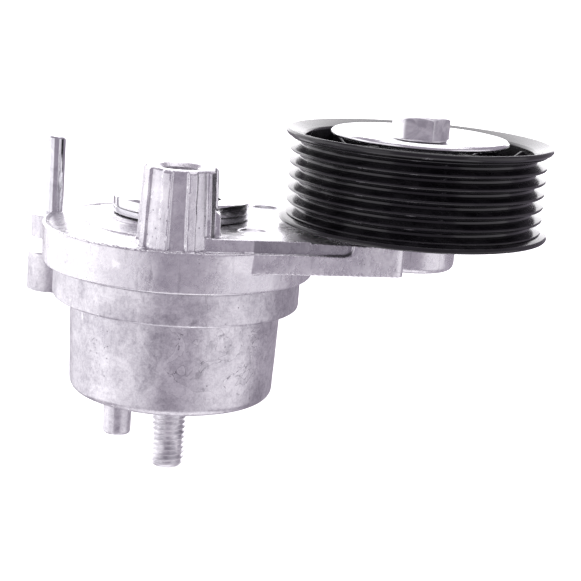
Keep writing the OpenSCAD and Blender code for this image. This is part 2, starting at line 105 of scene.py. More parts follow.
class Wire:
    """A number running between nodes of a shader or geometry tree; arithmetic on it adds Math nodes."""

    def __init__(self, tree: Tree, socket: Socket) -> None:
        """Keeps the tree and the socket that gives the number."""
        self.tree = tree
        self.socket = socket

    def plug(self, target: Socket, value: Union["Wire", float, Sequence[float]]) -> None:
        """Feeds an input socket from another wire, or sets its plain value."""
        if isinstance(value, Wire):
            self.tree.links.new(value.socket, target)
        else:
            target.default_value = value

    def math(self, operation: str, *others: Value) -> "Wire":
        """Adds a Math node.

        Args:
            operation: The node's operation.
            others: The second and third operands.

        Returns:
            The node's result.
        """
        node = self.tree.nodes.new("ShaderNodeMath")
        node.operation = operation
        for target, value in zip(node.inputs, (self, *others)):
            self.plug(target, value)
        return Wire(self.tree, node.outputs[0])

    def __add__(self, other: Value) -> "Wire":
        """Sum."""
        return self.math("ADD", other)

    def __sub__(self, other: Value) -> "Wire":
        """Difference."""
        return self.math("SUBTRACT", other)

    def __mul__(self, other: Value) -> "Wire":
        """Product."""
        return self.math("MULTIPLY", other)

    def __truediv__(self, other: Value) -> "Wire":
        """Quotient."""
        return self.math("DIVIDE", other)

    def size(self) -> "Wire":
        """Absolute value."""
        return self.math("ABSOLUTE")

    def between(self, low: float, high: float, start: float = 0.0, end: float = 1.0) -> "Wire":
        """Eases from start to end as the value goes from low to high, and stays there outside.

        Args:
            low: Value at which the result is start.
            high: Value at which the result is end.
            start: Result below low.
            end: Result above high.

        Returns:
            The eased value.
        """
        node = self.tree.nodes.new("ShaderNodeMapRange")
        node.interpolation_type = "SMOOTHSTEP"
        names = ("Value", "From Min", "From Max", "To Min", "To Max")
        for name, value in zip(names, (self, low, high, start, end)):
            self.plug(node.inputs[name], value)
        return Wire(self.tree, node.outputs["Result"])


class Paint:
    """One Principled material whose patterns read Object coordinates."""

    SMOOTHEST = 0.03

    def __init__(self, name: str, centre: XY = (0.0, 0.0)) -> None:
        """Starts the material.

        Args:
            name: The material's name.
            centre: Axis, in millimetres, about which turned marks run.
        """
        self.material = bpy.data.materials.new(name)
        self.material.use_nodes = True
        self.tree = self.material.node_tree
        self.shader = next(n for n in self.tree.nodes if n.type == "BSDF_PRINCIPLED")
        place = self.tree.nodes.new("ShaderNodeTexCoord")
        move = self.tree.nodes.new("ShaderNodeMapping")
        move.inputs["Location"].default_value = (-centre[0] * MM, -centre[1] * MM, 0.0)
        self.tree.links.new(place.outputs["Object"], move.inputs["Vector"])
        self.place = move.outputs["Vector"]
        split = self.tree.nodes.new("ShaderNodeSeparateXYZ")
        self.tree.links.new(self.place, split.inputs[0])
        self.x, self.y, self.z = (Wire(self.tree, split.outputs[i]) for i in range(3))

    def radius(self) -> Wire:
        """Distance from the pattern's axis, in metres."""
        return (self.x * self.x + self.y * self.y).math("SQRT")

    def noise(self, scale: float, detail: float = 3.0, rough: float = 0.5, distortion: float = 0.0,
              stretch: XYZ = (1.0, 1.0, 1.0)) -> Wire:
        """Fractal noise from about 0.25 to 0.75.

        Args:
            scale: Features in a metre.
            detail: Octaves.
            rough: Weight of the fine octaves.
            distortion: How far the pattern is warped.
            stretch: Scale along each axis.

        Returns:
            The noise value.
        """
        node = self.tree.nodes.new("ShaderNodeTexNoise")
        vector = self.place
        if stretch != (1.0, 1.0, 1.0):
            scaled = self.tree.nodes.new("ShaderNodeMapping")
            scaled.inputs["Scale"].default_value = stretch
            self.tree.links.new(self.place, scaled.inputs["Vector"])
            vector = scaled.outputs["Vector"]
        self.tree.links.new(vector, node.inputs["Vector"])
        names = ("Scale", "Detail", "Roughness", "Distortion")
        for name, value in zip(names, (scale, detail, rough, distortion)):
            node.inputs[name].default_value = value
        return Wire(self.tree, node.outputs[0])

    def turned_marks(self, scale: float, along_z: float = 1.0) -> Wire:
        """Noise that is the same all the way round the axis, as a lathe tool leaves it.

        Args:
            scale: Marks in a metre of radius.
            along_z: Weight of the height, so that walls get marks too.

        Returns:
            The noise value.
        """
        vector = self.tree.nodes.new("ShaderNodeCombineXYZ")
        self.tree.links.new(self.radius().socket, vector.inputs[0])
        self.tree.links.new((self.z * along_z).socket, vector.inputs[1])
        node = self.tree.nodes.new("ShaderNodeTexNoise")
        node.noise_dimensions = "2D"
        self.tree.links.new(vector.outputs[0], node.inputs["Vector"])
        node.inputs["Scale"].default_value = scale
        node.inputs["Detail"].default_value = 2.0
        return Wire(self.tree, node.outputs[0])

    def cells(self, scale: float, randomness: float = 1.0) -> Wire:
        """Distance to the nearest of many scattered points, 0 at each point."""
        node = self.tree.nodes.new("ShaderNodeTexVoronoi")
        self.tree.links.new(self.place, node.inputs["Vector"])
        node.inputs["Scale"].default_value = scale
        node.inputs["Randomness"].default_value = randomness
        return Wire(self.tree, node.outputs["Distance"])

    def edges(self, low: float, high: float) -> Wire:
        """1 on convex edges, both worn ones and those given a painted highlight, 0 on flat faces; low and
        high are pointiness values, and low above high picks concave creases instead.
        """
        node = self.tree.nodes.new("ShaderNodeNewGeometry")
        return Wire(self.tree, node.outputs["Pointiness"]).between(low, high)

    def facing_up(self) -> Wire:
        """The surface normal's Z part."""
        node = self.tree.nodes.new("ShaderNodeNewGeometry")
        split = self.tree.nodes.new("ShaderNodeSeparateXYZ")
        self.tree.links.new(node.outputs["Normal"], split.inputs[0])
        return Wire(self.tree, split.outputs[2])

    def mix(self, share: Wire, first: Union[Wire, RGB], second: Union[Wire, RGB]) -> Wire:
        """Goes from the first colour to the second as share goes from 0 to 1."""
        node = self.tree.nodes.new("ShaderNodeMix")
        node.data_type = "RGBA"
        share.plug(node.inputs[0], share)
        for target, value in ((node.inputs[6], first), (node.inputs[7], second)):
            share.plug(target, value if isinstance(value, Wire) else (*value, 1.0))
        return Wire(self.tree, node.outputs[2])

    def done(self, colour: Wire, roughness: Wire, height: Wire, **uniform: float) -> Material:
        """Joins the fields to the shader.

        Args:
            colour: Base colour.
            roughness: Roughness.
            height: Relief in millimetres.
            uniform: Values set on the shader's own sockets, with _ for a space.

        Returns:
            The finished material.
        """
        bump = self.tree.nodes.new("ShaderNodeBump")
        bump.inputs["Strength"].default_value = 1.0
        bump.inputs["Distance"].default_value = MM
        links = self.tree.links
        links.new(height.socket, bump.inputs["Height"])
        links.new(bump.outputs["Normal"], self.shader.inputs["Normal"])
        links.new(colour.socket, self.shader.inputs["Base Color"])
        kept = roughness.math("MAXIMUM", self.SMOOTHEST).math("MINIMUM", 1.0)
        links.new(kept.socket, self.shader.inputs["Roughness"])
        for name, value in uniform.items():
            self.shader.inputs[name.replace("_", " ")].default_value = value
        return self.material


# ---------------------------------------------------------------- finishes


@dataclass(frozen=True)
class Zone:
    """A soft-edged box where a casting looks different, in millimetres and the same at +Y and -Y."""

    low: XYZ
    high: XYZ
    soft: float = 3.0

    def mask(self, p: Paint) -> Wire:
        """1 inside the zone, 0 outside it."""
        inside = []
        for axis, low, high in zip((p.x, p.y.size(), p.z), self.low, self.high):
            past_low = axis.between((low - self.soft) * MM, low * MM)
            inside.append(past_low * axis.between(high * MM, (high + self.soft) * MM, 1.0, 0.0))
        return inside[0] * inside[1] * inside[2]


@dataclass(frozen=True)
class CastAluminium:
    """Die-cast aluminium as it leaves the mould: clouded, pitted, with chill marks and bright worn edges.

    The chilled zone is on the spring case's drum. The recess_shade zone is painted shade: it darkens the
    recessed band on the side walls of the arm's plate.
    """

    name: str
    pale: RGB = (0.90, 0.89, 0.91)
    shade: RGB = (0.40, 0.385, 0.425)
    # colour of real stains, pits and chill marks, and also of the painted shade in creases and in the arm's
    # recess
    stain_and_shade: RGB = (0.20, 0.19, 0.22)
    edge: RGB = (0.93, 0.93, 0.94)
    rough: float = 0.40
    metal: float = 0.80
    cloud_scale: float = 42.0
    chill: float = 0.35
    chilled: Zone = Zone((2.0, 8.0, 8.0), (22.0, 40.0, 23.0), 4.0)
    # painted shade: the recessed band on the arm plate's side walls is darkened as though in shadow
    recess_shade: Zone = Zone((20.9, 22.0, 47.1), (46.4, 40.0, 50.2), 0.35)

    def make(self) -> Material:
        """Builds the material."""
        p = Paint(self.name)
        cloud = p.noise(self.cloud_scale, 4, 0.6, 0.9)
        mottle = p.noise(290, 5, 0.68, 0.5)
        grain = p.noise(2100, 3, 0.65)
        speckle = p.noise(900, 4, 0.7, 0.2)
        flow = p.noise(105, 3, 0.5, 1.6)
        chilled = self.chilled.mask(p)
        rim = (flow - 0.53).size().between(0.0, 0.012, 1.0, 0.0)
        outline = rim * cloud.between(0.55, 0.63) * self.chill
        outline = outline + rim * chilled * speckle.between(0.35, 0.55) * 0.65
        smudge = chilled * p.noise(150, 4, 0.6, 1.1).between(0.57, 0.64)
        patch = flow.between(0.53, 0.56)
        pits = p.cells(760).between(0.07, 0.20, 1.0, 0.0) * p.noise(75, 2).between(0.57, 0.66)
        streak = p.noise(620, 3, 0.6, 0.3, (1.0, 1.0, 0.22)).between(0.60, 0.70)
        worn = p.edges(0.515, 0.58) * mottle.between(0.3, 0.55)
        # painted shade: concave creases are darkened as though shade gathers in them
        crease_shade = p.edges(0.485, 0.44)
        broad = cloud.between(0.38, 0.60) * 0.42 + mottle.between(0.36, 0.62) * 0.24 + patch * chilled * 0.20
        tone = broad + speckle.between(0.38, 0.60) * 0.20 + grain.between(0.40, 0.58) * 0.16
        colour = p.mix(tone, self.shade, self.pale)
        colour = p.mix(outline + streak * 0.22 + smudge * 0.30, colour, self.stain_and_shade)
        # painted shade in the recess on the arm plate's side walls
        colour = p.mix(self.recess_shade.mask(p) * 0.62, colour, self.stain_and_shade)
        # real pits, plus the painted shade in creases
        colour = p.mix(pits * 0.75 + crease_shade * 0.5, colour, self.stain_and_shade)
        colour = p.mix(worn, colour, self.edge)
        rough = mottle * 0.35 + (self.rough - 0.175) + pits * 0.2 - worn * 0.12 + patch * 0.05
        height = grain * 0.028 + speckle * 0.030 + mottle * 0.070 + flow * 0.16
        height = height - pits * 0.06 - outline * 0.014
        return p.done(colour, rough, height, Metallic=self.metal, Specular_IOR_Level=0.5)


@dataclass(frozen=True)
class TurnedSteel:
    """Steel with fine turned rings, thin stains and small handling marks."""

    name: str
    centre: XY
    pale: RGB = (0.86, 0.86, 0.875)
    shade: RGB = (0.60, 0.60, 0.63)
    rough: float = 0.20
    ring_height: float = 0.004
    metal: float = 1.0

    def make(self) -> Material:
        """Builds the material."""
        p = Paint(self.name, self.centre)
        rings = p.turned_marks(5200)
        bands = p.turned_marks(900)
        haze = p.noise(120, 4, 0.6, 0.8)
        marks = p.noise(900, 4, 0.7, 1.5).between(0.60, 0.68)
        tone = rings * 0.35 + haze.between(0.35, 0.65) * 0.5 + bands * 0.2
        colour = p.mix(marks * 0.35, p.mix(tone, self.shade, self.pale), self.shade)
        rough = haze * 0.16 + rings * 0.08 + marks * 0.12 + (self.rough - 0.12)
        height = rings * self.ring_height + bands * self.ring_height + marks * 0.003 + haze * 0.03
        return p.done(colour, rough, height, Metallic=self.metal)


@dataclass(frozen=True)
class ZincPlate:
    """Zinc plate over formed steel: milky, softly mottled, with rubbed corners."""

    name: str
    centre: XY
    pale: RGB = (0.96, 0.955, 0.965)
    shade: RGB = (0.60, 0.59, 0.62)
    rough: float = 0.33
    metal: float = 0.88

    def make(self) -> Material:
        """Builds the material."""
        p = Paint(self.name, self.centre)
        bloom = p.noise(180, 5, 0.62, 0.7)
        speck = p.noise(1300, 4, 0.7, 0.4)
        press = p.turned_marks(700)
        rub_and_sheen = p.edges(0.52, 0.60)
        dull = p.noise(420, 5, 0.7, 1.0).between(0.54, 0.66)
        colour = p.mix(bloom.between(0.32, 0.62), self.shade, self.pale)
        colour = p.mix(speck.between(0.58, 0.70) * 0.35 + dull * 0.4, colour, self.shade)
        colour = p.mix(rub_and_sheen * 0.8, colour, (0.95, 0.95, 0.95))
        rough = bloom * 0.25 + dull * 0.16 + (self.rough - 0.12)
        height = bloom * 0.03 + speck * 0.012 + press * 0.006 - dull * 0.006
        return p.done(colour, rough, height, Metallic=self.metal)


@dataclass(frozen=True)
class DrawnWire:
    """Drawn steel rod with fine lines along its length, or round it for a coiled spring."""

    name: str
    pale: RGB = (0.95, 0.95, 0.96)
    shade: RGB = (0.60, 0.60, 0.63)
    rough: float = 0.20
    lines: XYZ = (1.0, 1.0, 0.03)
    peened: float = 0.0

    def make(self) -> Material:
        """Builds the material."""
        p = Paint(self.name)
        draw = p.noise(2600, 3, 0.6, 0.0, self.lines)
        haze = p.noise(260, 4, 0.6, 0.8)
        dents = p.cells(1400)
        rust = p.noise(500, 5, 0.7, 0.8).between(0.62, 0.70)
        colour = p.mix(draw * 0.45 + haze.between(0.3, 0.7) * 0.5, self.shade, self.pale)
        colour = p.mix(rust * 0.4, colour, self.shade)
        rough = haze * 0.2 + draw * 0.12 + (self.rough - 0.14) + rust * 0.15
        height = draw * 0.006 + haze * 0.02 + dents * self.peened
        return p.done(colour, rough, height, Metallic=1.0)


@dataclass(frozen=True)
class MouldedPolymer:
    """Injection-moulded or pressed polymer with flow shading, fine texture and convex edges lightened as a
    painted highlight.
    """

    name: str
    colour: RGB
    light: RGB
    centre: XY = (0.0, 0.0)
    rough: float = 0.45
    grain: float = 0.010
    rings: float = 0.0
    coat: float = 0.0
    # share of grey on upward faces: partly dust, partly painted reflection of the light from above
    dust_and_sheen: float = 0.0
    ior: float = 1.5
    # share of painted highlight on convex crests
    rub_and_sheen: float = 0.0

    def make(self) -> Material:
        """Builds the material."""
        p = Paint(self.name, self.centre)
        flow = p.noise(70, 3, 0.55, 1.2)
        fine = p.noise(2400, 3, 0.6)
        fibre = p.noise(700, 4, 0.7, 1.8)
        turned = p.turned_marks(2600)
        scuff = p.noise(240, 5, 0.7, 2.0).between(0.60, 0.72)
        # upward faces, in patches: partly dust, partly painted reflection
        shelf = p.facing_up().between(0.2, 0.9) * p.noise(160, 4, 0.7).between(0.40, 0.62)
        share = flow.between(0.35, 0.68) * 0.4 + fibre.between(0.55, 0.75) * 0.3 + scuff * 0.35
        colour = p.mix(share, self.colour, self.light)
        colour = p.mix(shelf * self.dust_and_sheen, colour, (0.30, 0.30, 0.31))
        # painted highlight: convex crests are lightened so that thin bright lines run along them
        crest_sheen = p.edges(0.53, 0.62) * fibre.between(0.35, 0.60)
        colour = p.mix(crest_sheen * self.rub_and_sheen, colour, (0.42, 0.41, 0.43))
        rough = fibre * 0.16 + scuff * 0.16 + (self.rough - 0.10) + shelf * (self.dust_and_sheen * 0.6)
        height = fine * self.grain + fibre * (self.grain * 0.8) + turned * self.rings + flow * 0.02
        return p.done(colour, rough, height, Metallic=0.0, IOR=self.ior, Coat_Weight=self.coat,
                      Coat_Roughness=0.08)


def axis_of(node: str) -> XY:
    """The vertical axis through the middle of a frame node, in millimetres."""
    low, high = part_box(node)
    return (low.x + high.x) / 2 / MM, (low.y + high.y) / 2 / MM


def span(node: str) -> XY:
    """The lowest and highest Z of a frame node, in millimetres."""
    low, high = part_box(node)
    return low.z / MM, high.z / MM


PIVOT: XY = (0.0, 0.0)
PULLEY: XY = axis_of("bearing_balls")


Finish = Union[CastAluminium, TurnedSteel, ZincPlate, DrawnWire, MouldedPolymer]

POLYMERS: dict[Slot, dict[str, Union[float, RGB]]] = {
    # the pulley's crests get a painted highlight through rub_and_sheen
    Slot.PULLEY_POLYMER: dict(colour=(0.006, 0.0055, 0.007), light=(0.018, 0.017, 0.020), rough=0.22,
                              # dust_and_sheen greys the upward faces, partly as dust and partly as painted
                              # reflection
                              grain=0.004, rings=0.006, coat=0.2, dust_and_sheen=0.05, ior=1.45, rub_and_sheen=0.35),
    Slot.BLACK_FRICTION: dict(colour=(0.020, 0.020, 0.022), light=(0.050, 0.050, 0.054), rough=0.42,
                              grain=0.008, rings=0.004),
    Slot.SEAT_POLYMER: dict(colour=(0.06, 0.06, 0.066), light=(0.11, 0.11, 0.12)),
    Slot.SHOE_POLYMER: dict(colour=(0.14, 0.14, 0.115), light=(0.24, 0.23, 0.19), rough=0.62, grain=0.02),
    Slot.BUSHING_POLYMER: dict(colour=(0.46, 0.33, 0.14), light=(0.60, 0.47, 0.24)),
    Slot.CAGE_POLYMER: dict(colour=(0.36, 0.22, 0.12), light=(0.50, 0.34, 0.20)),
    Slot.SEAL_RUBBER: dict(colour=(0.022, 0.022, 0.025), light=(0.05, 0.05, 0.054), rough=0.5, grain=0.008,
                           rings=0.01),
}


class Paintshop:
    """Makes each finish once and hands it out by slot and turning axis."""

    def __init__(self) -> None:
        """Starts with no material made."""
        self.made: dict[tuple[Slot, XY], Material] = {}

    @staticmethod
    def finish(slot: Slot, centre: XY) -> Finish:
        """Picks the finish for a slot.

        Args:
            slot: The record's slot.
            centre: Axis about which turned marks run.

        Returns:
            The finish.
        """
        name = f"{slot.value}_{'pulley' if centre == PULLEY else 'pivot'}"
        if slot in POLYMERS:
            return MouldedPolymer(name, centre=centre, **POLYMERS[slot])
        if slot is Slot.BRIGHT_CAP:
            return TurnedSteel(name, centre, pale=(0.92, 0.92, 0.925), shade=(0.72, 0.72, 0.735),
                               rough=0.20 if centre == PULLEY else 0.13, ring_height=0.003)
        return {
            Slot.CASE_CASTING: CastAluminium(name, rough=0.33),
            Slot.ARM_CASTING: CastAluminium(name, pale=(0.92, 0.91, 0.925), shade=(0.61, 0.595, 0.635),
                                            rough=0.28, cloud_scale=55.0, chill=0.30),
            Slot.ZINC_BOLT: ZincPlate(name, centre),
            Slot.MACHINED_STEEL: TurnedSteel(name, centre, pale=(0.74, 0.74, 0.76), rough=0.24),
            Slot.GROUND_PIN: DrawnWire(name, rough=0.13),
            Slot.SPRING_STEEL: DrawnWire(name, pale=(0.36, 0.37, 0.42), shade=(0.12, 0.12, 0.15), rough=0.34,
                                         lines=(1.0, 1.0, 1.0), peened=0.02),
            Slot.BEARING_STEEL: TurnedSteel(name, centre, rough=0.12, ring_height=0.001),
        }[slot]

    def material(self, slot: Slot, centre: XY = PIVOT) -> Material:
        """The material of a slot, made on first use."""
        if (slot, centre) not in self.made:
            self.made[slot, centre] = self.finish(slot, centre).make()
        return self.made[slot, centre]


SHOP = Paintshop()


# ---------------------------------------------------------------- meshes


def linked(name: str, data: bpy.types.ID) -> Piece:
    """Makes an object at the origin and links it to the scene."""
    thing = bpy.data.objects.new(name, data)
    bpy.context.scene.collection.objects.link(thing)
    return thing


def evaluated(thing: Piece) -> Mesh:
    """A plain mesh of an object with its modifiers applied."""
    return bpy.data.meshes.new_from_object(thing.evaluated_get(bpy.context.evaluated_depsgraph_get()))


def as_object(name: str, verts: Iterable[Sequence[float]], faces: Iterable[Sequence[int]]) -> Piece:
    """Makes a mesh object at the origin.

    Args:
        name: The piece's name.
        verts: Points in millimetres.
        faces: Corner numbers of each face.

    Returns:
        The object, linked to the scene.
    """
    mesh = bpy.data.meshes.new(name)
    mesh.from_pydata([tuple(c * MM for c in v) for v in verts], [], [tuple(f) for f in faces])
    return linked(name, mesh)


def weld(mesh: Mesh, gap: float = MERGE_GAP, close: bool = False) -> None:
    """Merges doubles and turns the faces outwards.

    Args:
        mesh: The mesh to change.
        gap: Merge distance in metres.
        close: Whether two open rims are joined by a wall.
    """
    work = bmesh.new()
    work.from_mesh(mesh)
    bmesh.ops.remove_doubles(work, verts=work.verts, dist=gap)
    if close:
        bmesh.ops.bridge_loops(work, edges=[e for e in work.edges if e.is_boundary])
    bmesh.ops.dissolve_degenerate(work, edges=work.edges, dist=gap * 0.1)
    bmesh.ops.recalc_face_normals(work, faces=work.faces)
    work.to_mesh(mesh)
    work.free()


def smooth(thing: Piece, sharp_degrees: float = 32.0) -> Piece:
    """Shades smooth, with sharp edges above an angle."""
    thing.data.polygons.foreach_set("use_smooth", [True] * len(thing.data.polygons))
    thing.data.set_sharp_from_angle(angle=math.radians(sharp_degrees))
    return thing


NEARLY_STRAIGHT = 1.56
FILLET_STEP = math.radians(16)


def rounded(corners: Sequence[Corner], closed: bool) -> list[XY]:
    """Rounds the corners of a section.

    Args:
        corners: Radius, height and fillet radius of each corner.
        closed: Whether the last corner runs back to the first.

    Returns:
        Points of the rounded section.
    """
    points: list[XY] = []
    count = len(corners)
    for i, (r, z, fillet) in enumerate(corners):
        here = np.array((r, z), float)
        if fillet <= 0 or (not closed and i in (0, count - 1)):
            points.append((r, z))
            continue
        back, on = (np.array(corners[(i + k) % count][:2], float) - here for k in (-1, 1))
        run_back, run_on = np.linalg.norm(back), np.linalg.norm(on)
        back, on = back / run_back, on / run_on
        half = 0.5 * math.acos(float(np.clip(back @ on, -1.0, 1.0)))
        if half > NEARLY_STRAIGHT:
            points.append((r, z))
            continue
        cut = min(fillet / math.tan(half), 0.49 * run_back, 0.49 * run_on)
        radius = cut * math.tan(half)
        middle = (back + on) / np.linalg.norm(back + on)
        centre = here + middle * radius / math.sin(half)
        first, last = here + back * cut - centre, here + on * cut - centre
        start = math.atan2(first[1], first[0])
        sweep = (math.atan2(last[1], last[0]) - start + math.pi) % (2 * math.pi) - math.pi
        steps = max(2, math.ceil(abs(sweep) / FILLET_STEP))
        points += [(centre[0] + radius * math.cos(start + sweep * k / steps),
                    centre[1] + radius * math.sin(start + sweep * k / steps)) for k in range(steps + 1)]
    return points


Shift = Callable[[float, float, float], XY]


def turned(name: str, corners: Sequence[Corner], centre: XY = PIVOT, steps: int = 160, closed: bool = False,
           shift: Union[Shift, None] = None) -> Piece:
    """Turns a section about a vertical axis.

    Args:
        name: The piece's name.
        corners: Section corners; an open section starts and ends on the axis.
        centre: The axis.
        steps: Facets round the axis.
        closed: Whether the section is a ring's closed loop.
        shift: Moves a point (angle, r, z) to (r, z), for dents and flats.

    Returns:
        The smooth piece.
    """
    section = rounded(corners, closed)
    verts: list[XYZ] = []
    rows: list[list[int]] = []
    for r, z in section:
        if r < 1e-6:
            rows.append([len(verts)] * steps)
            verts.append((centre[0], centre[1], z))
            continue
        rows.append(list(range(len(verts), len(verts) + steps)))
        for k in range(steps):
            angle = 2 * math.pi * k / steps
            rr, zz = shift(angle, r, z) if shift else (r, z)
            verts.append((centre[0] + rr * math.cos(angle), centre[1] + rr * math.sin(angle), zz))
    faces = []
    pairs = list(zip(rows, rows[1:] + rows[:1])) if closed else list(zip(rows, rows[1:]))
    for low, high in pairs:
        for k in range(steps):
            n = (k + 1) % steps
            loop = [low[k], low[n], high[n], high[k]]
            faces.append([v for i, v in enumerate(loop) if v != loop[i - 1]])
    thing = as_object(name, verts, faces)
    weld(thing.data)
    return smooth(thing)


def ripple(seed: int, amount: float, lobes: Sequence[int] = (2, 3, 5, 9)) -> Shift:
    """A slight out-of-round height change, as a pressed rim has.

    Args:
        seed: Seed of the phases.
        amount: Largest height change in millimetres.
        lobes: Waves round the rim.

    Returns:
        The shift for turned().
    """
    phases = np.random.default_rng(seed).uniform(0, 2 * math.pi, len(lobes))

    def shift(angle: float, r: float, z: float) -> XY:
        """Lowers the point by the sum of the waves."""
        wave = sum(math.sin(n * angle + p) for n, p in zip(lobes, phases)) / len(lobes)
        return r, z + amount * (wave - 1.0) / 2
    return shift


def deliver(piece: Piece, body: Body, slot: Slot, replaces: Sequence[str] = (), centre: XY = PIVOT) -> None:
    """Paints a finished piece unless it has its paint, puts it on its body and reports it.

    Args:
        piece: The piece, with its place in its mesh.
        body: The body it rides on.
        slot: Its material slot.
        replaces: Frame nodes it stands for.
        centre: Axis of its turned marks.
    """
    if not piece.data.materials:
        piece.data.materials.append(SHOP.material(slot, centre))
    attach(piece, body.value)
    if replaces:
        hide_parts(*replaces)
    faces = len(piece.data.polygons)
    log.info("%s rides on %s, finish %s, %d faces", piece.name, body.value, slot.value, faces)


def dress_node(node: str, slot: Slot, centre: XY = PIVOT) -> None:
    """Gives a frame node that stays in view its finish."""
    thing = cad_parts[node]
    thing.data.materials.clear()
    thing.data.materials.append(SHOP.material(slot, centre))
    log.info("%s keeps its frame mesh, finish %s", node, slot.value)


# ---------------------------------------------------------------- geometry nodes


class Recipe:
    """A Geometry Nodes tree with named inputs that ends in Realize Instances and Set Material."""

    def __init__(self, name: str) -> None:
        """Starts the tree with a geometry input and output."""
        self.name = name
        self.tree = bpy.data.node_groups.new(name, "GeometryNodeTree")
        for way in ("INPUT", "OUTPUT"):
            self.tree.interface.new_socket("Geometry", in_out=way, socket_type="NodeSocketGeometry")
        self.entry = self.tree.nodes.new("NodeGroupInput")
        self.exit = self.tree.nodes.new("NodeGroupOutput")
        self.values: dict[str, Union[float, int]] = {}

    def number(self, name: str, value: Union[float, int]) -> Wire:
        """Adds a named input.

        Args:
            name: The input's name.
            value: Its value; a whole number makes an integer input.

        Returns:
            The input as a wire.
        """
        kind = "NodeSocketInt" if isinstance(value, int) else "NodeSocketFloat"
        socket = self.tree.interface.new_socket(name, in_out="INPUT", socket_type=kind)
        self.values[socket.identifier] = value
        return Wire(self.tree, next(o for o in self.entry.outputs if o.identifier == socket.identifier))

    def node(self, kind: str, inputs: dict[Union[str, int], object], **settings: object) -> Socket:
        """Adds a node.

        Args:
            kind: The node's type.
            inputs: Wire, socket or plain value of each input.
            settings: Properties of the node.

        Returns:
            The node's first output.
        """
        made = self.tree.nodes.new(kind)
        for name, value in settings.items():
            setattr(made, name, value)
        for name, value in inputs.items():
            if isinstance(value, Wire):
                value = value.socket
            if isinstance(value, Socket):
                self.tree.links.new(value, made.inputs[name])
            else:
                made.inputs[name].default_value = value
        return made.outputs[0]

    def lengths(self, **values: float) -> list[Wire]:
        """Named inputs for sizes given in millimetres, with _ for a space in the name."""
        return [self.number(name.replace("_", " "), value * MM) for name, value in values.items()]

    def wire(self, socket: Socket) -> Wire:
        """A wire from any socket of the tree."""
        return Wire(self.tree, socket)

    def noise(self, scale: Value, detail: float, seed: Wire) -> Wire:
        """Seeded noise over the geometry, from about 0.25 to 0.75."""
        inputs = {"Scale": scale, "W": seed, "Detail": detail}
        return self.wire(self.node("ShaderNodeTexNoise", inputs, noise_dimensions="4D"))

    def vector(self, x: Value, y: Value, z: Value) -> Socket:
        """Joins three numbers to a vector."""
        return self.node("ShaderNodeCombineXYZ", {0: x, 1: y, 2: z})

    def place(self) -> tuple[Wire, Wire, Wire]:
        """The point's own coordinates."""
        position = self.node("GeometryNodeInputPosition", {})
        x, y, z = self.node("ShaderNodeSeparateXYZ", {0: position}).node.outputs
        return self.wire(x), self.wire(y), self.wire(z)

    def bake(self, result: Socket, piece: str, material: Material,
             base: Union[Mesh, None] = None, gap: float = MERGE_GAP, close: bool = False) -> Piece:
        """Ends the tree and turns its result into a plain mesh.

        Args:
            result: The geometry to end with.
            piece: The piece's name.
            material: The material of its faces.
            base: The mesh that goes in, if any.
            gap: Merge distance in metres; 0 leaves the mesh as it comes.
            close: Whether two open rims are joined by a wall.

        Returns:
            The piece.
        """
        finish = self.tree.interface.new_socket("Finish", in_out="INPUT", socket_type="NodeSocketMaterial")
        fed = next(o for o in self.entry.outputs if o.identifier == finish.identifier)
        whole = self.node("GeometryNodeRealizeInstances", {"Geometry": result})
        painted = self.node("GeometryNodeSetMaterial", {"Geometry": whole, "Material": fed})
        self.tree.links.new(painted, self.exit.inputs[0])
        thing = linked(piece, base or bpy.data.meshes.new(piece))
        step = thing.modifiers.new(self.name, "NODES")
        step.node_group = self.tree
        for identifier, value in self.values.items():
            step[identifier] = value
        step[finish.identifier] = material
        made = evaluated(thing)
        thing.modifiers.clear()
        thing.data = made
        made.name = piece
        if gap:
            weld(made, gap, close)
        made.polygons.foreach_set("use_smooth", [True] * len(made.polygons))
        return thing


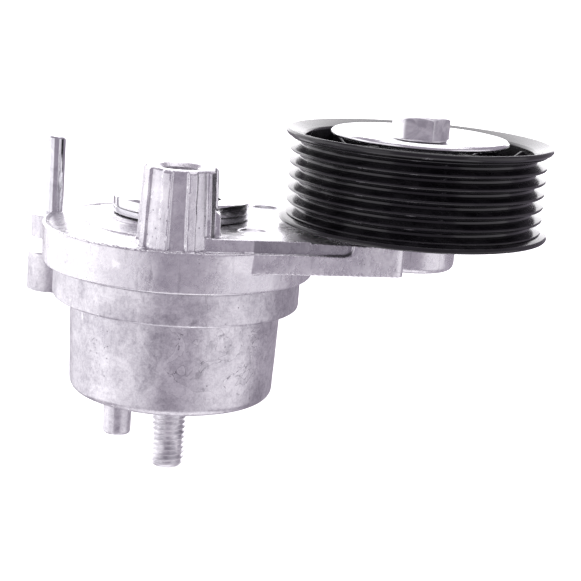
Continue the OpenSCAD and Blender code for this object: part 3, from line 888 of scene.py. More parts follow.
@dataclass
class Thread:
    """A helical V thread, cut on a rod or inside a bore."""

    major_r: float
    pitch: float
    depth: float
    foot_z: float
    top_z: float
    end_r: float = 0.0
    centre: XY = PIVOT
    around: int = 96
    rows_a_turn: int = 12
    lead_in: float = 1.0
    flank_slope: float = 1.36
    crest_flat: float = 0.16

    def build(self, name: str, material: Material) -> Piece:
        """Makes the threaded wall.

        Args:
            name: The piece's name.
            material: Its material.

        Returns:
            The piece: a closed rod when end_r is 0, or a closed sleeve round a bore.
        """
        r = Recipe("thread")
        rows = int((self.top_z - self.foot_z) / self.pitch * self.rows_a_turn) + 3
        major, pitch, depth = r.lengths(Major_radius=self.major_r, Pitch=self.pitch, Depth=self.depth)
        foot, top, end, lead = r.lengths(Foot=self.foot_z, Top=self.top_z, End_radius=self.end_r,
                                         Lead_in=self.lead_in)
        around, count = r.number("Around", self.around), r.number("Rows", rows)
        grid = r.node("GeometryNodeMeshGrid", {"Size X": 1.0, "Size Y": 1.0, "Vertices X": around,
                                               "Vertices Y": count})
        x, y, _ = r.place()
        turn, along = x + 0.5, y + 0.5
        gaps = count - 1.0
        inner = ((along * gaps - 1.0) / (gaps - 2.0)).math("MAXIMUM", 0.0).math("MINIMUM", 1.0)
        z = foot + (top - foot) * inner
        phase = (z / pitch - turn + 100.0).math("FRACT")
        flank = (phase * 2.0 - 1.0).size() * self.flank_slope - self.crest_flat
        flank = flank.math("MAXIMUM", 0.0).math("MINIMUM", 1.0)
        radius = major - depth * flank
        ends = (z - foot).math("MINIMUM", top - z)
        if self.end_r:
            radius = radius.math("MAXIMUM", major - (ends - lead * 0.3).math("MAXIMUM", 0.0) * 1.2)
        else:
            radius = radius.math("MINIMUM", major - depth - lead * 0.25 + (z - foot) * 0.9)
        past_foot = (along * gaps - 0.5).math("GREATER_THAN", 0.0)
        capped = past_foot * (along * gaps - gaps + 0.5).math("LESS_THAN", 0.0)
        radius = radius * capped + end * (capped * -1.0 + 1.0)
        angle = turn * (2 * math.pi)
        spot = r.vector(angle.math("COSINE") * radius + self.centre[0] * MM,
                        angle.math("SINE") * radius + self.centre[1] * MM, z)
        moved = r.node("GeometryNodeSetPosition", {"Geometry": grid, "Position": spot})
        piece = r.bake(moved, name, material, None, 4 * MERGE_GAP, bool(self.end_r))
        return smooth(piece, 50.0)


@dataclass
class HexHead:
    """A hexagon bolt head with its flange, chamfer arcs and shallow pressed top."""

    across_flats: float
    flange_r: float
    flange_h: float
    seat_z: float
    top_z: float
    turn_degrees: float
    centre: XY
    per_side: int = 24
    chamfer_h: float = 0.9
    chamfer_wide: float = 1.157
    chamfer_narrow: float = 0.92
    corner_kept: float = 0.988
    dish: float = 0.25

    def build(self, name: str) -> Piece:
        """Makes the head as rows of points from the seat up to the top's centre."""
        half = self.across_flats / 2
        count = 6 * self.per_side
        degrees = np.arange(count) * 360.0 / count
        flat = half / np.cos(np.radians((degrees + 30.0) % 60.0 - 30.0))
        flat = np.minimum(flat, half / math.cos(math.radians(30)) * self.corner_kept)
        wide, narrow = half * self.chamfer_wide, half * self.chamfer_narrow
        fall = (wide - narrow) / self.chamfer_h
        arc_z = self.top_z - self.chamfer_h + (wide - flat) / fall
        ones = np.ones(count)
        base = self.seat_z + self.flange_h
        rows = [(self.flange_r - 0.25, self.seat_z), (self.flange_r, self.seat_z + 0.15),
                (self.flange_r, base - 0.25 * self.flange_h), (self.flange_r - 0.2, base)]
        rings = [(r * ones, z * ones) for r, z in rows]
        rings += [(flat * 1.004, (base + 0.02) * ones), (flat, (base + 0.5) * ones), (flat, arc_z - 0.45),
                  (flat - 0.02, arc_z - 0.10), (flat - 0.10, arc_z + 0.05)]
        rings.append(((flat - 0.10 + narrow) / 2, (arc_z + 0.05 + self.top_z) / 2))
        floor_z = self.top_z - self.dish * 1.1
        rows = [(narrow + 0.08, self.top_z - 0.05), (narrow - 0.15, self.top_z), (narrow * 0.78, self.top_z),
                (narrow * 0.70, self.top_z - self.dish), (narrow * 0.3, floor_z)]
        rings += [(r * ones, z * ones) for r, z in rows]
        verts = [(self.centre[0], self.centre[1], self.seat_z)]
        angles = np.radians(degrees + self.turn_degrees)
        for r, z in rings:
            verts += list(zip(self.centre[0] + r * np.cos(angles), self.centre[1] + r * np.sin(angles), z))
        verts.append((self.centre[0], self.centre[1], floor_z))
        faces = [(0, 1 + (k + 1) % count, 1 + k) for k in range(count)]
        for row in range(len(rings) - 1):
            low, high = 1 + row * count, 1 + (row + 1) * count
            faces += [(low + k, low + (k + 1) % count, high + (k + 1) % count, high + k)
                      for k in range(count)]
        last, top = 1 + (len(rings) - 1) * count, len(verts) - 1
        faces += [(last + k, last + (k + 1) % count, top) for k in range(count)]
        thing = as_object(name, verts, faces)
        weld(thing.data)
        return smooth(thing, 26.0)


@dataclass(frozen=True)
class TrueWall:
    """A round wall that is put back on its exact radius after remeshing; foot and top are (radius, Z)."""

    centre: XY
    foot: XY
    top: XY
    reach: float = 0.14


@dataclass(frozen=True)
class WidenedBore:
    """A bore that is opened from bore_r to sleeve_r between two heights, to take a thread's sleeve."""

    centre: XY
    bore_r: float
    sleeve_r: float
    foot_z: float
    top_z: float


@dataclass
class Casting:
    """A die-cast body: the frame's node with soft edges and the uneven skin of a casting."""

    node: str
    name: str
    slot: Slot
    body: Body
    voxel: float = 0.33
    triangles: int = 194_000
    swell: float = 0.08
    swell_scale: float = 85.0
    grain: float = 0.016
    grain_scale: float = 640.0
    seed: float = 7.0
    walls: tuple[TrueWall, ...] = ()
    widened: tuple[WidenedBore, ...] = ()

    def blank(self) -> Mesh:
        """Copies the node, merges it and remeshes it with soft edges.

        Returns:
            A closed mesh in metres.
        """
        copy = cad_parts[self.node].data.copy()
        weld(copy, 2 * MERGE_GAP)
        thing = linked("blank", copy)
        remesh = thing.modifiers.new("remesh", "REMESH")
        remesh.mode, remesh.voxel_size = "VOXEL", self.voxel * MM
        relax = thing.modifiers.new("relax", "SMOOTH")
        relax.factor, relax.iterations = 0.5, 1
        mesh = evaluated(thing)
        count = sum(len(p.vertices) - 2 for p in mesh.polygons)
        thing.modifiers.clear()
        thing.data = mesh
        if count > self.triangles:
            thin = thing.modifiers.new("thin", "DECIMATE")
            thin.ratio = self.triangles / count
            mesh = evaluated(thing)
        bpy.data.objects.remove(thing)
        return mesh

    def true_up(self, mesh: Mesh) -> None:
        """Puts the round walls back on their exact radius and widens the bores that take a thread."""
        co = np.empty(len(mesh.vertices) * 3)
        mesh.vertices.foreach_get("co", co)
        co = co.reshape(-1, 3) / MM
        for wall in self.walls:
            flat = co[:, :2] - np.array(wall.centre)
            r = np.hypot(flat[:, 0], flat[:, 1])
            share = (co[:, 2] - wall.foot[1]) / (wall.top[1] - wall.foot[1])
            want = wall.foot[0] + (wall.top[0] - wall.foot[0]) * share
            near = (share > 0) & (share < 1) & (np.abs(r - want) < wall.reach)
            co[near, :2] = np.array(wall.centre) + flat[near] * (want[near] / r[near])[:, None]
        for bore in self.widened:
            flat = co[:, :2] - np.array(bore.centre)
            r = np.maximum(np.hypot(flat[:, 0], flat[:, 1]), 1e-6)
            level = (co[:, 2] > bore.foot_z) & (co[:, 2] < bore.top_z)
            near = (r > bore.bore_r * 0.8) & (r < bore.bore_r) & level
            co[near, :2] = np.array(bore.centre) + flat[near] * (bore.sleeve_r / r[near])[:, None]
        mesh.vertices.foreach_set("co", (co * MM).ravel())
        mesh.update()

    def build(self) -> None:
        """Makes the casting, paints it and puts it on its body."""
        mesh = self.blank()
        self.true_up(mesh)
        r = Recipe("cast_skin")
        swell, grain = r.lengths(Swell=self.swell, Grain=self.grain)
        seed = r.number("Seed", self.seed)
        broad = r.noise(r.number("Swell scale", self.swell_scale), 2.0, seed)
        fine = r.noise(r.number("Grain scale", self.grain_scale), 3.0, seed)
        sink = (broad.between(0.25, 0.75) - 1.0) * swell + (fine.between(0.25, 0.75) - 1.0) * grain
        normal = r.node("GeometryNodeInputNormal", {})
        offset = r.node("ShaderNodeVectorMath", {0: normal, "Scale": sink}, operation="SCALE")
        moved = r.node("GeometryNodeSetPosition", {"Geometry": r.entry.outputs[0], "Offset": offset})
        piece = r.bake(moved, self.name, SHOP.material(self.slot), mesh, 0.0)
        deliver(piece, self.body, self.slot, (self.node,))


# ---------------------------------------------------------------- sub-assemblies


@dataclass
class FixedCase:
    """The die-cast spring case and the parts that stay still with it inside."""

    drum_foot_r: float = 28.9
    drum_top_r: float = 29.6
    foot_round: float = 2.5
    shoulder_z: float = 26.5
    ring_r: float = 34.65
    ring_top_z: float = 35.75
    coil_r: float = 21.3
    wire_r: float = 2.5
    coil_foot_z: float = 7.0
    coil_top_z: float = 40.0
    turns: float = 4.75

    def casting(self) -> None:
        """Makes the case casting."""
        Casting("spring_case", "case_casting_body", Slot.CASE_CASTING, Body.CASE, walls=(
            TrueWall(PIVOT, (self.drum_foot_r, self.foot_round), (self.drum_top_r, self.shoulder_z - 1.4)),
            TrueWall(PIVOT, (self.ring_r, self.shoulder_z + 0.9), (self.ring_r, self.ring_top_z - 0.5)),
        )).build()

    def torsion_spring(self) -> None:
        """Sweeps the round wire along its helix."""
        r = Recipe("torsion_spring")
        turns = r.number("Turns", self.turns)
        coil, wire, rise, foot = r.lengths(Coil_radius=self.coil_r, Wire_radius=self.wire_r,
                                           Rise=self.coil_top_z - self.coil_foot_z - 2 * self.wire_r,
                                           Foot=self.coil_foot_z + self.wire_r)
        spiral = r.node("GeometryNodeCurveSpiral", {"Resolution": 72, "Rotations": turns,
                                                    "Start Radius": coil, "End Radius": coil, "Height": rise})
        lifted = r.node("GeometryNodeSetPosition", {"Geometry": spiral, "Offset": r.vector(0.0, 0.0, foot)})
        section = r.node("GeometryNodeCurvePrimitiveCircle", {"Resolution": 20, "Radius": wire})
        tube = r.node("GeometryNodeCurveToMesh", {"Curve": lifted, "Profile Curve": section,
                                                  "Fill Caps": True})
        piece = r.bake(tube, "torsion_spring_wire", SHOP.material(Slot.SPRING_STEEL))
        deliver(smooth(piece, 40.0), Body.CASE, Slot.SPRING_STEEL, ("torsion_spring",))

    def build(self) -> None:
        """Makes the case and dresses what stays hidden in it."""
        self.casting()
        self.torsion_spring()
        dress_node("lower_spring_seat", Slot.SEAT_POLYMER)
        dress_node("dust_seal", Slot.SEAL_RUBBER)


@dataclass
class PivotStack:
    """The hollow shaft, its plates and cap on top of the hub, and the long mounting bolt."""

    shaft_r: float = 9.05
    thrust_r: float = 18.6
    plate_r: float = 18.9
    neck_r: float = 7.6
    cap_r: float = 18.9
    well_r: float = 10.9
    lip_w: float = 0.27
    lip_h: float = 0.35
    thread_r: float = 5.0
    pitch: float = 1.5
    thread_depth: float = 0.86
    shank_r: float = 4.8
    bolt_af: float = 15.0
    bolt_turn: float = 12.0
    flange_r: float = 9.8
    flange_h: float = 1.6
    stud_top_z: float = -0.6

    def plates(self) -> None:
        """Makes the thrust washer, retainer plate and bright cap."""
        low, high = span("thrust_washer")
        washer = [(self.shaft_r, low, 0.1), (self.thrust_r, low, 0.25), (self.thrust_r, high, 0.25),
                  (self.shaft_r, high, 0.1)]
        deliver(turned("thrust_washer_disc", washer, closed=True), Body.CASE, Slot.BLACK_FRICTION,
                ("thrust_washer",))
        low, high = span("retainer_plate")
        lip_r, lip_z = self.plate_r - self.lip_w, low - self.lip_h
        plate = [(self.neck_r, low, 0.05), (lip_r, low, 0.0), (lip_r, lip_z, 0.0), (self.plate_r, lip_z, 0.1),
                 (self.plate_r, high, 0.2), (self.neck_r, high, 0.05)]
        deliver(turned("retainer_plate_disc", plate, steps=200, closed=True), Body.CASE, Slot.MACHINED_STEEL,
                ("retainer_plate",))
        low, high = span("hub_cap")
        lip_r, lip_z = self.cap_r - self.lip_w, low - self.lip_h - 0.01
        cap = [(self.well_r, low, 0.2), (lip_r, low, 0.0), (lip_r, lip_z, 0.0), (self.cap_r, lip_z, 0.1),
               (self.cap_r, high - 0.7, 0.7), (self.cap_r - 1.0, high, 0.7),
               (self.well_r + 0.9, high - 0.15, 0.5), (self.well_r, high - 0.9, 0.4)]
        deliver(turned("hub_cap_disc", cap, steps=200, closed=True), Body.CASE, Slot.BRIGHT_CAP, ("hub_cap",))

    def mounting_bolt(self) -> None:
        """Makes the long bolt: hexagon head, shank and rolled thread."""
        low, high = span("mounting_bolt")
        seat = span("retainer_plate")[1]
        shape = HexHead(self.bolt_af, self.flange_r, self.flange_h, seat, high, self.bolt_turn, PIVOT)
        head = shape.build("mounting_bolt_head")
        deliver(head, Body.CASE, Slot.ZINC_BOLT, ("mounting_bolt",))
        foot, top = self.stud_top_z - 0.4, seat + 0.3
        shank = [(0, foot, 0), (self.shank_r - 0.5, foot, 0.1), (self.shank_r, foot + 0.8, 0.2),
                 (self.shank_r, top, 0.1), (0, top, 0)]
        deliver(turned("mounting_bolt_shank", shank, steps=96), Body.CASE, Slot.ZINC_BOLT)
        thread = Thread(self.thread_r, self.pitch, self.thread_depth, low, self.stud_top_z)
        piece = thread.build("mounting_bolt_thread", SHOP.material(Slot.ZINC_BOLT))
        deliver(piece, Body.CASE, Slot.ZINC_BOLT)

    def build(self) -> None:
        """Makes the stack and dresses the shaft and the thin disc."""
        self.plates()
        self.mounting_bolt()
        dress_node("pivot_shaft", Slot.MACHINED_STEEL)
        dress_node("friction_disc", Slot.BLACK_FRICTION)


@dataclass
class SwingArm:
    """The die-cast arm with its ribbed boss, the thread in it, the flash on its rim, and what it carries."""

    skirt_r: float = 37.76
    disc_r: float = 38.05
    skirt_z: float = 36.06
    rim_z: float = 47.2
    boss: XY = (0.5, -27.0)
    boss_bore_r: float = 5.2
    boss_thread_r: float = 5.98
    boss_thread_pitch: float = 1.75
    boss_sleeve_r: float = 6.25
    boss_floor_z: float = 45.6
    boss_top_z: float = 68.0
    end_boss_r: float = 12.8
    end_boss_z: XY = (42.6, 49.8)
    flash_from: float = -168.0
    flash_sweep: float = 96.0
    flash_r: float = 0.30
    flash_stray: float = 0.60
    flash_seed: float = 3.0

    def casting(self) -> None:
        """Makes the arm casting, with its bore opened to take the thread."""
        skirt = TrueWall(PIVOT, (self.skirt_r, self.skirt_z + 0.7), (self.disc_r, self.rim_z - 0.5))
        low, high = self.end_boss_z
        end_boss = TrueWall((PULLEY[0], 0.0), (self.end_boss_r, low), (self.end_boss_r, high))
        bore = WidenedBore(self.boss, self.boss_bore_r + 0.5, self.boss_sleeve_r - 0.1,
                           self.boss_floor_z - 0.2, self.boss_top_z - 1.3)
        Casting("tensioner_arm", "arm_casting_body", Slot.ARM_CASTING, Body.ARM, voxel=0.32,
                walls=(skirt, end_boss), widened=(bore,)).build()

    def boss_thread(self) -> None:
        """Cuts the thread in the ribbed boss's bore."""
        thread = Thread(self.boss_thread_r, self.boss_thread_pitch, self.boss_thread_r - self.boss_bore_r,
                        self.boss_floor_z, self.boss_top_z - 0.95, self.boss_sleeve_r, self.boss)
        piece = thread.build("boss_thread_sleeve", SHOP.material(Slot.ARM_CASTING))
        deliver(piece, Body.ARM, Slot.ARM_CASTING)

    def rim_flash(self) -> None:
        """Runs a thin ragged bead of flash along the arm's rim, as the mould's parting leaves it."""
        r = Recipe("rim_flash")
        radius, height, bead, stray = r.lengths(Radius=self.disc_r - 0.42, Height=self.rim_z - 0.16,
                                                Bead=self.flash_r, Stray=self.flash_stray)
        start = r.number("Start", math.radians(self.flash_from))
        sweep = r.number("Sweep", math.radians(self.flash_sweep))
        seed = r.number("Seed", self.flash_seed)
        arc = r.node("GeometryNodeCurveArc", {"Resolution": 320, "Radius": radius, "Start Angle": start,
                                              "Sweep Angle": sweep})
        across, upward, plump = (r.noise(scale, 4.0, seed) for scale in (260.0, 420.0, 900.0))
        lift = (upward - 0.5) * stray
        offset = r.vector((across - 0.5) * stray, lift, height + lift * 0.8)
        wavy = r.node("GeometryNodeSetPosition", {"Geometry": arc, "Offset": offset})
        girth = plump.between(0.38, 0.62, 0.35, 1.15)
        section = r.node("GeometryNodeCurvePrimitiveCircle", {"Resolution": 8, "Radius": bead})
        strip = r.node("GeometryNodeCurveToMesh", {"Curve": wavy, "Profile Curve": section, "Fill Caps": True,
                                                   "Scale": girth})
        piece = r.bake(strip, "rim_flash_bead", SHOP.material(Slot.ARM_CASTING))
        deliver(piece, Body.ARM, Slot.ARM_CASTING)

    def build(self) -> None:
        """Makes the arm and dresses the liners it carries inside."""
        self.casting()
        self.boss_thread()
        self.rim_flash()
        dress_node("pivot_bushing", Slot.BUSHING_POLYMER)
        dress_node("upper_spring_seat", Slot.SEAT_POLYMER)
        dress_node("damping_shoe", Slot.SHOE_POLYMER)
        dress_node("damper_spring_band", Slot.SPRING_STEEL)


@dataclass
class LockingPin:
    """The drawn steel pin that holds the arm while the tensioner is fitted."""

    radius: float = 2.5
    crop: float = 0.35
    crop_towards: float = 0.9

    def build(self) -> None:
        """Makes the pin with its cropped top and rounded foot."""
        low, high = span("locking_pin")
        section = [(0, low, 0), (self.radius - 0.5, low, 0.2), (self.radius, low + 0.6, 0.4),
                   (self.radius, high - 0.45, 0.3), (self.radius - 0.35, high, 0.2), (0, high, 0)]

        def cropped(angle: float, r: float, z: float) -> XY:
            """Slopes the sheared top."""
            drop = self.crop * (1 + math.cos(angle - self.crop_towards)) / 2 * (r / self.radius)
            return r, z - drop if z > high - 0.6 else z
        piece = turned("locking_pin_rod", section, axis_of("locking_pin"), 64, shift=cropped)
        deliver(piece, Body.PIN, Slot.GROUND_PIN, ("locking_pin",))


@dataclass
class Bearing:
    """The sealed ball bearing in the pulley."""

    mid_z: float = 64.35
    ball_r: float = 3.37
    pitch_r: float = 14.25
    inner_land_r: float = 12.3
    outer_land_r: float = 16.25
    balls: int = 8

    def seal(self, name: str, node: str, outward: float) -> None:
        """Makes one seal with its stepped face and lip.

        Args:
            name: The piece's name.
            node: The frame node it stands for.
            outward: 1 for the upper seal, -1 for the lower one.
        """
        near, far = span(node) if outward > 0 else span(node)[::-1]
        a, b = self.inner_land_r, self.outer_land_r
        sunk = far - 0.3 * outward
        section = [(a, near, 0.05), (b, near, 0.05), (b, far, 0.15), (b - 0.7, far, 0.1),
                   (b - 1.0, sunk, 0.1), (a + 1.2, sunk, 0.1), (a + 0.9, far - 0.05 * outward, 0.1),
                   (a, far - 0.15 * outward, 0.1)]
        deliver(turned(name, section, PULLEY, closed=True), Body.IDLER, Slot.SEAL_RUBBER, (node,), PULLEY)

    def ball_ring(self) -> None:
        """Places the balls round their pitch circle."""
        r = Recipe("ball_ring")
        count = r.number("Balls", self.balls)
        pitch, ball, mid = r.lengths(Pitch_radius=self.pitch_r, Ball_radius=self.ball_r, Height=self.mid_z)
        ring = r.node("GeometryNodeMeshCircle", {"Vertices": count, "Radius": pitch})
        sphere = r.node("GeometryNodeMeshUVSphere", {"Segments": 32, "Rings": 20, "Radius": ball})
        set_round = r.node("GeometryNodeInstanceOnPoints", {"Points": ring, "Instance": sphere})
        centre = r.vector(PULLEY[0] * MM, PULLEY[1] * MM, mid)
        placed = r.node("GeometryNodeTransform", {"Geometry": set_round, "Translation": centre})
        piece = r.bake(placed, "bearing_ball_ring", SHOP.material(Slot.BEARING_STEEL, PULLEY))
        deliver(piece, Body.BALLS, Slot.BEARING_STEEL, ("bearing_balls",))

    def build(self) -> None:
        """Makes seals and balls, and dresses rings and cage."""
        self.seal("bearing_seal_upper", "bearing_seal_top", 1.0)
        self.seal("bearing_seal_lower", "bearing_seal_bottom", -1.0)
        self.ball_ring()
        dress_node("bearing_inner_ring", Slot.BEARING_STEEL, PULLEY)
        dress_node("bearing_outer_ring", Slot.BEARING_STEEL, PULLEY)
        dress_node("bearing_cage", Slot.CAGE_POLYMER, PULLEY)


@dataclass
class GroovedPulley:
    """The moulded multi-rib pulley: flanges given as (radius, Z), a web between two Z and thin gussets."""

    grooves: int = 6
    pitch: float = 3.56
    crest_r: float = 35.7
    groove_depth: float = 2.9
    flank_degrees: float = 20.0
    mid_z: float = 64.35
    crest_w: float = 0.64
    upper_flange: XY = (37.0, 77.14)
    lower_flange: XY = (37.55, 51.5)
    rim_inner_r: float = 31.2
    recess_lip: XY = (32.2, 75.55)
    hub_r: float = 23.6
    bearing_r: float = 20.0
    web: XY = (62.6, 66.0)
    bearing_z: XY = (58.35, 70.35)
    lip_h: float = 0.8
    gussets: int = 12
    gusset_phase: float = 15.0
    gusset_w: float = 1.2

    def section(self) -> list[Corner]:
        """The pulley's closed half section.

        Returns:
            Corners with their fillets.
        """
        foot = self.mid_z - self.grooves * self.pitch / 2
        top = self.mid_z + self.grooves * self.pitch / 2
        mouth = self.groove_depth * math.tan(math.radians(self.flank_degrees))
        root = self.pitch / 2 - self.crest_w / 2 - mouth
        low, high = self.bearing_z
        lip_low, lip_top, lip_r = low - self.lip_h, high + self.lip_h, self.bearing_r - 0.6
        lower_r, lower_z, upper_r, upper_z = *self.lower_flange, *self.upper_flange
        crest_r, land_r = self.crest_r, self.crest_r - 0.75
        groove_r = crest_r - self.groove_depth
        ring: list[Corner] = [
            (self.bearing_r, lip_low, 0.3), (self.hub_r + 0.4, lip_low, 0.4), (self.hub_r, self.web[0], 0.8),
            (self.rim_inner_r, self.web[0], 0.8), (self.rim_inner_r + 0.7, lower_z + 1.8, 0.6),
            (lower_r - 2.6, lower_z + 0.6, 0.8), (lower_r - 0.5, lower_z, 0.4),
            (lower_r, lower_z + 0.55, 0.45), (lower_r - 0.45, lower_z + 1.4, 0.5), (land_r, foot - 0.05, 0.5)]
        for i in range(self.grooves):
            middle = foot + (i + 0.5) * self.pitch
            right = [(groove_r, root, 0.3), (crest_r - 0.22, root + mouth - 0.04, 0.3),
                     (crest_r, self.pitch / 2 - 0.06, 0.1)]
            ring += [(r, middle - z, fillet) for r, z, fillet in reversed(right)]
            ring += [(r, middle + z, fillet) for r, z, fillet in right]
        ring += [
            (land_r, top + 0.05, 0.5), (upper_r - 0.45, upper_z - 1.7, 0.4), (upper_r, upper_z - 1.1, 0.4),
            (upper_r, upper_z - 0.4, 0.35), (upper_r - 0.5, upper_z, 0.3), (*self.recess_lip, 0.6),
            (self.rim_inner_r + 0.4, self.recess_lip[1] - 0.55, 0.5), (self.rim_inner_r, self.web[1], 0.8),
            (self.hub_r, self.web[1], 0.8), (self.hub_r - 0.4, lip_top, 0.4), (lip_r, lip_top, 0.2),
            (lip_r, high, 0.0), (self.bearing_r, high, 0.0)]
        return ring

    def gusset_blank(self) -> Mesh:
        """One pair of gussets, above and below the web, in the plane through the axis."""
        a, b, h = self.hub_r - 1.0, self.rim_inner_r + 1.0, self.gusset_w / 2
        root_z, rim_z, dip_z, hub_z = self.web[1] - 1, 74.0, 71.4, 70.3
        upper = [(a, root_z), (b, root_z), (b, rim_z), (self.rim_inner_r - 0.2, rim_z), (27.6, dip_z),
                 (self.hub_r, hub_z), (a, hub_z)]
        roots = [(r, sum(self.web) - z) for r, z in upper[:2]]
        lower = roots + [(r, 2 * self.mid_z - z) for r, z in upper[2:]]
        verts, faces = [], []
        for outline in (upper, lower):
            start, n = len(verts), len(outline)
            verts += [(r, side * h, z) for side in (-1, 1) for r, z in outline]
            faces += [tuple(range(start, start + n)), tuple(range(start + n, start + 2 * n))]
            faces += [(start + k, start + (k + 1) % n, start + n + (k + 1) % n, start + n + k)
                      for k in range(n)]
        thing = as_object("gusset_blank", verts, faces)
        weld(thing.data)
        soft = thing.modifiers.new("soft_edges", "BEVEL")
        soft.width, soft.segments, soft.limit_method = 0.3 * MM, 2, "ANGLE"
        mesh = evaluated(thing)
        bpy.data.objects.remove(thing)
        return mesh

    def build(self) -> None:
        """Makes the turned body and sets the gussets round it."""
        body = turned("pulley_body", self.section(), PULLEY, 240, closed=True)
        deliver(body, Body.IDLER, Slot.PULLEY_POLYMER, ("grooved_pulley",), PULLEY)
        r = Recipe("gusset_ring")
        count = r.number("Gussets", self.gussets)
        phase = r.number("Phase", math.radians(self.gusset_phase))
        line = r.node("GeometryNodeMeshLine", {"Count": count, "Offset": (0.0, 0.0, 0.0)})
        index = r.wire(r.node("GeometryNodeInputIndex", {}))
        angle = index * (2 * math.pi) / count + phase
        turn = r.node("FunctionNodeEulerToRotation", {0: r.vector(0.0, 0.0, angle)})
        ring = r.node("GeometryNodeInstanceOnPoints", {"Points": line, "Instance": r.entry.outputs[0],
                                                       "Rotation": turn})
        placed = r.node("GeometryNodeTransform", {"Geometry": ring,
                                                  "Translation": (PULLEY[0] * MM, PULLEY[1] * MM, 0.0)})
        piece = r.bake(placed, "pulley_gussets", SHOP.material(Slot.PULLEY_POLYMER, PULLEY),
                       self.gusset_blank(), 0.0)
        deliver(smooth(piece, 35.0), Body.IDLER, Slot.PULLEY_POLYMER)


@dataclass
class PulleyMount:
    """The dust cap, spacers and bolt that clamp the bearing on the arm."""

    cap_r: float = 24.75
    hole_r: float = 5.2
    plate_t: float = 1.1
    seat_r: float = 14.0
    dish_r: XYZ = (12.0, 13.6, 17.0)
    washer_r: float = 11.6
    spacer_r: float = 11.4
    bolt_af: float = 14.0
    bolt_turn: float = 19.0
    flange_r: float = 7.6
    flange_h: float = 0.6
    thread_r: float = 4.98
    pitch: float = 1.5
    thread_depth: float = 0.84

    def cap(self) -> None:
        """Makes the pressed dust cap with its rolled, slightly uneven rim."""
        low, high = span("dust_cap")
        seat = low + self.plate_t
        inner, middle, outer = self.dish_r
        section = [(self.hole_r, low, 0.1), (self.seat_r, low, 1.0), (self.cap_r - 2.2, low + 1.2, 0.6),
                   (self.cap_r - 0.4, low + 1.0, 0.3), (self.cap_r, low + 1.35, 0.35),
                   (self.cap_r - 0.1, low + 2.0, 0.4), (self.cap_r - 0.8, low + 2.62, 0.7),
                   (self.cap_r - 1.9, high, 0.7), (self.cap_r - 3.2, high - 0.2, 0.8),
                   (outer, seat + 0.75, 1.2), (middle, seat + 0.15, 0.8), (inner, seat, 0.6),
                   (self.hole_r, seat, 0.1)]
        piece = turned("dust_cap_plate", section, PULLEY, 220, True, ripple(11, 0.10))
        deliver(piece, Body.ARM, Slot.BRIGHT_CAP, ("dust_cap",), PULLEY)

    def spacer(self, name: str, node: str, outer_r: float) -> None:
        """Makes a plain turned ring for a frame node."""
        low, high = span(node)
        section = [(self.hole_r, low, 0.25), (outer_r, low, 0.3), (outer_r, high, 0.3),
                   (self.hole_r, high, 0.25)]
        deliver(turned(name, section, PULLEY, 128, True), Body.ARM, Slot.MACHINED_STEEL, (node,), PULLEY)

    def bolt(self) -> None:
        """Makes the bolt: head and threaded shank."""
        low, high = span("pulley_bolt")
        seat = span("dust_cap")[0] + self.plate_t
        shape = HexHead(self.bolt_af, self.flange_r, self.flange_h, seat, high, self.bolt_turn, PULLEY)
        deliver(shape.build("pulley_bolt_head"), Body.ARM, Slot.ZINC_BOLT, ("pulley_bolt",), PULLEY)
        thread = Thread(self.thread_r, self.pitch, self.thread_depth, low, seat + 0.4, centre=PULLEY)
        piece = thread.build("pulley_bolt_thread", SHOP.material(Slot.ZINC_BOLT, PULLEY))
        deliver(piece, Body.ARM, Slot.ZINC_BOLT)

    def build(self) -> None:
        """Makes cap, spacers and bolt, and dresses the sleeve."""
        self.cap()
        self.spacer("arm_seat_washer", "spacer_washer", self.washer_r)
        self.spacer("cap_spacer_ring", "cap_spacer", self.spacer_r)
        self.bolt()
        dress_node("bearing_sleeve", Slot.MACHINED_STEEL, PULLEY)


# ---------------------------------------------------------------- studio


def towards(azimuth: float, elevation: float) -> Vector:
    """A direction in degrees; azimuth 0 is the camera's side (-Y) and positive is to the right (+X)."""
    a, e = math.radians(azimuth), math.radians(elevation)
    return Vector((math.sin(a) * math.cos(e), -math.cos(a) * math.cos(e), math.sin(e)))


@dataclass(frozen=True)
class SoftBox:
    """A rectangular studio light that faces the part."""

    name: str
    azimuth: float
    elevation: float
    distance: float
    width: float
    height: float
    radiance: float

    def build(self, target: Vector) -> None:
        """Places the light at its distance from the target, in metres."""
        way = towards(self.azimuth, self.elevation)
        lamp = bpy.data.lights.new(self.name, "AREA")
        lamp.shape, lamp.size, lamp.size_y = "RECTANGLE", self.width, self.height
        lamp.energy = self.radiance * math.pi * self.width * self.height
        thing = linked(self.name, lamp)
        thing.location = target + way * self.distance
        thing.rotation_mode = "QUATERNION"
        thing.rotation_quaternion = way.to_track_quat("Z", "Y")
        thing.visible_camera = False


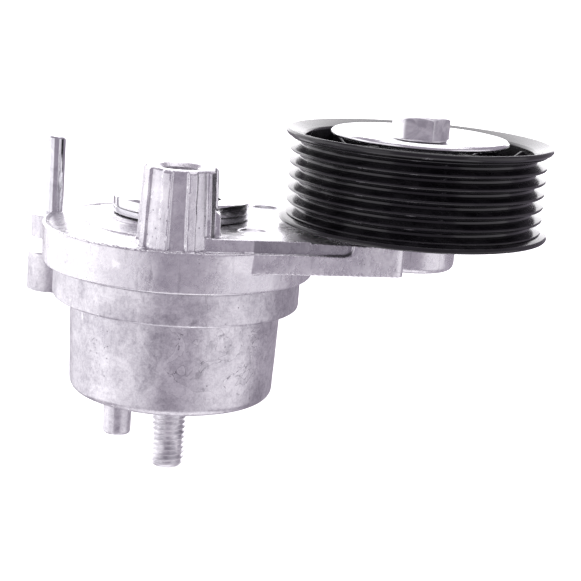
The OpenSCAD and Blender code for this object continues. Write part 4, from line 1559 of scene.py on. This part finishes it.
@dataclass
class Studio:
    """Pale floor, soft boxes and the camera, which looks past the target by its slide."""

    target: XYZ = (30.0, 0.0, 30.0)
    azimuth: float = -2.19
    elevation: float = 12.9
    roll: float = 4.5
    distance: float = 416.06
    slide: XY = (2.23, 0.59)
    lens: float = 91.09
    clip: XY = (0.01, 60.0)
    floor_z: float = -23.4
    floor_size: float = 10.0
    wall_height: float = 3.0
    room: float = 0.36
    room_tint: RGB = (1.05, 0.94, 1.13)
    boxes: tuple[SoftBox, ...] = (
        SoftBox("left_box", -110.0, -4.0, 0.80, 1.05, 1.10, 1.04),
        SoftBox("left_fill", -54.0, -6.0, 0.86, 0.86, 1.00, 0.80),
        SoftBox("right_box", 65.0, -8.0, 0.90, 1.00, 0.95, 0.66),
        SoftBox("back_wall", -172.0, 22.0, 1.30, 1.90, 1.30, 2.00),
        SoftBox("under_box", 0.0, -80.0, 0.70, 0.90, 0.70, 0.90),
        SoftBox("top_box", 150.0, 80.0, 0.90, 0.80, 0.60, 1.30),
    )

    def camera(self) -> None:
        """Places the camera with its slight roll."""
        around, roll = math.radians(self.azimuth), math.radians(self.roll)
        back = towards(self.azimuth, self.elevation)
        level = Vector((math.cos(around), math.sin(around), 0.0))
        upright = back.cross(level)
        right = level * math.cos(roll) + upright * math.sin(roll)
        up = upright * math.cos(roll) - level * math.sin(roll)
        spot = Vector(self.target) + back * self.distance + right * self.slide[0] + up * self.slide[1]
        lens = bpy.data.cameras.new("camera")
        lens.lens, lens.clip_start, lens.clip_end = self.lens, *self.clip
        thing = linked("camera", lens)
        thing.matrix_world = Matrix((right, up, back)).transposed().to_4x4()
        thing.location = spot * MM
        bpy.context.scene.camera = thing

    def floor(self) -> None:
        """Lays the pale floor just under the thread's end, and pale walls at its far edges."""
        half, low = self.floor_size / 2, self.floor_z * MM
        corners = ((-half, -half), (half, -half), (half, half), (-half, half))
        points = [(x, y, z) for z in (low, low + self.wall_height) for x, y in corners]
        walls = [((n + 1) % 4, n, n + 4, (n + 1) % 4 + 4) for n in range(4)]
        mesh = bpy.data.meshes.new("floor")
        mesh.from_pydata(points, [], [(0, 1, 2, 3), *walls])
        thing = linked("floor", mesh)
        paint = bpy.data.materials.new("floor_paint")
        paint.use_nodes = True
        shader = next(n for n in paint.node_tree.nodes if n.type == "BSDF_PRINCIPLED")
        values = {"Base Color": (0.92, 0.92, 0.92, 1.0), "Roughness": 0.85, "Specular IOR Level": 0.1,
                  "Emission Color": (1.0, 1.0, 1.0, 1.0), "Emission Strength": 0.75}
        for name, value in values.items():
            shader.inputs[name].default_value = value
        mesh.materials.append(paint)
        thing.visible_glossy = thing.visible_diffuse = thing.visible_shadow = False

    def build(self) -> None:
        """Sets up the whole studio."""
        scene = bpy.context.scene
        scene.view_settings.view_transform = "Standard"
        scene.view_settings.look = "None"
        world = bpy.data.worlds.new("studio_room")
        world.use_nodes = True
        glow = tuple(self.room * share for share in self.room_tint)
        world.node_tree.nodes["Background"].inputs["Color"].default_value = (*glow, 1.0)
        scene.world = world
        self.camera()
        self.floor()
        for box in self.boxes:
            box.build(Vector(self.target) * MM)


def main() -> None:
    """Builds the studio and every sub-assembly in order."""
    logging.basicConfig(level=logging.INFO, format="%(message)s", stream=sys.stdout)
    for part in (Studio(), FixedCase(), PivotStack(), SwingArm(), LockingPin(), GroovedPulley(), Bearing(),
                 PulleyMount()):
        part.build()
        log.info("%s is ready", type(part).__name__)


if __name__ == "__main__":
    main()
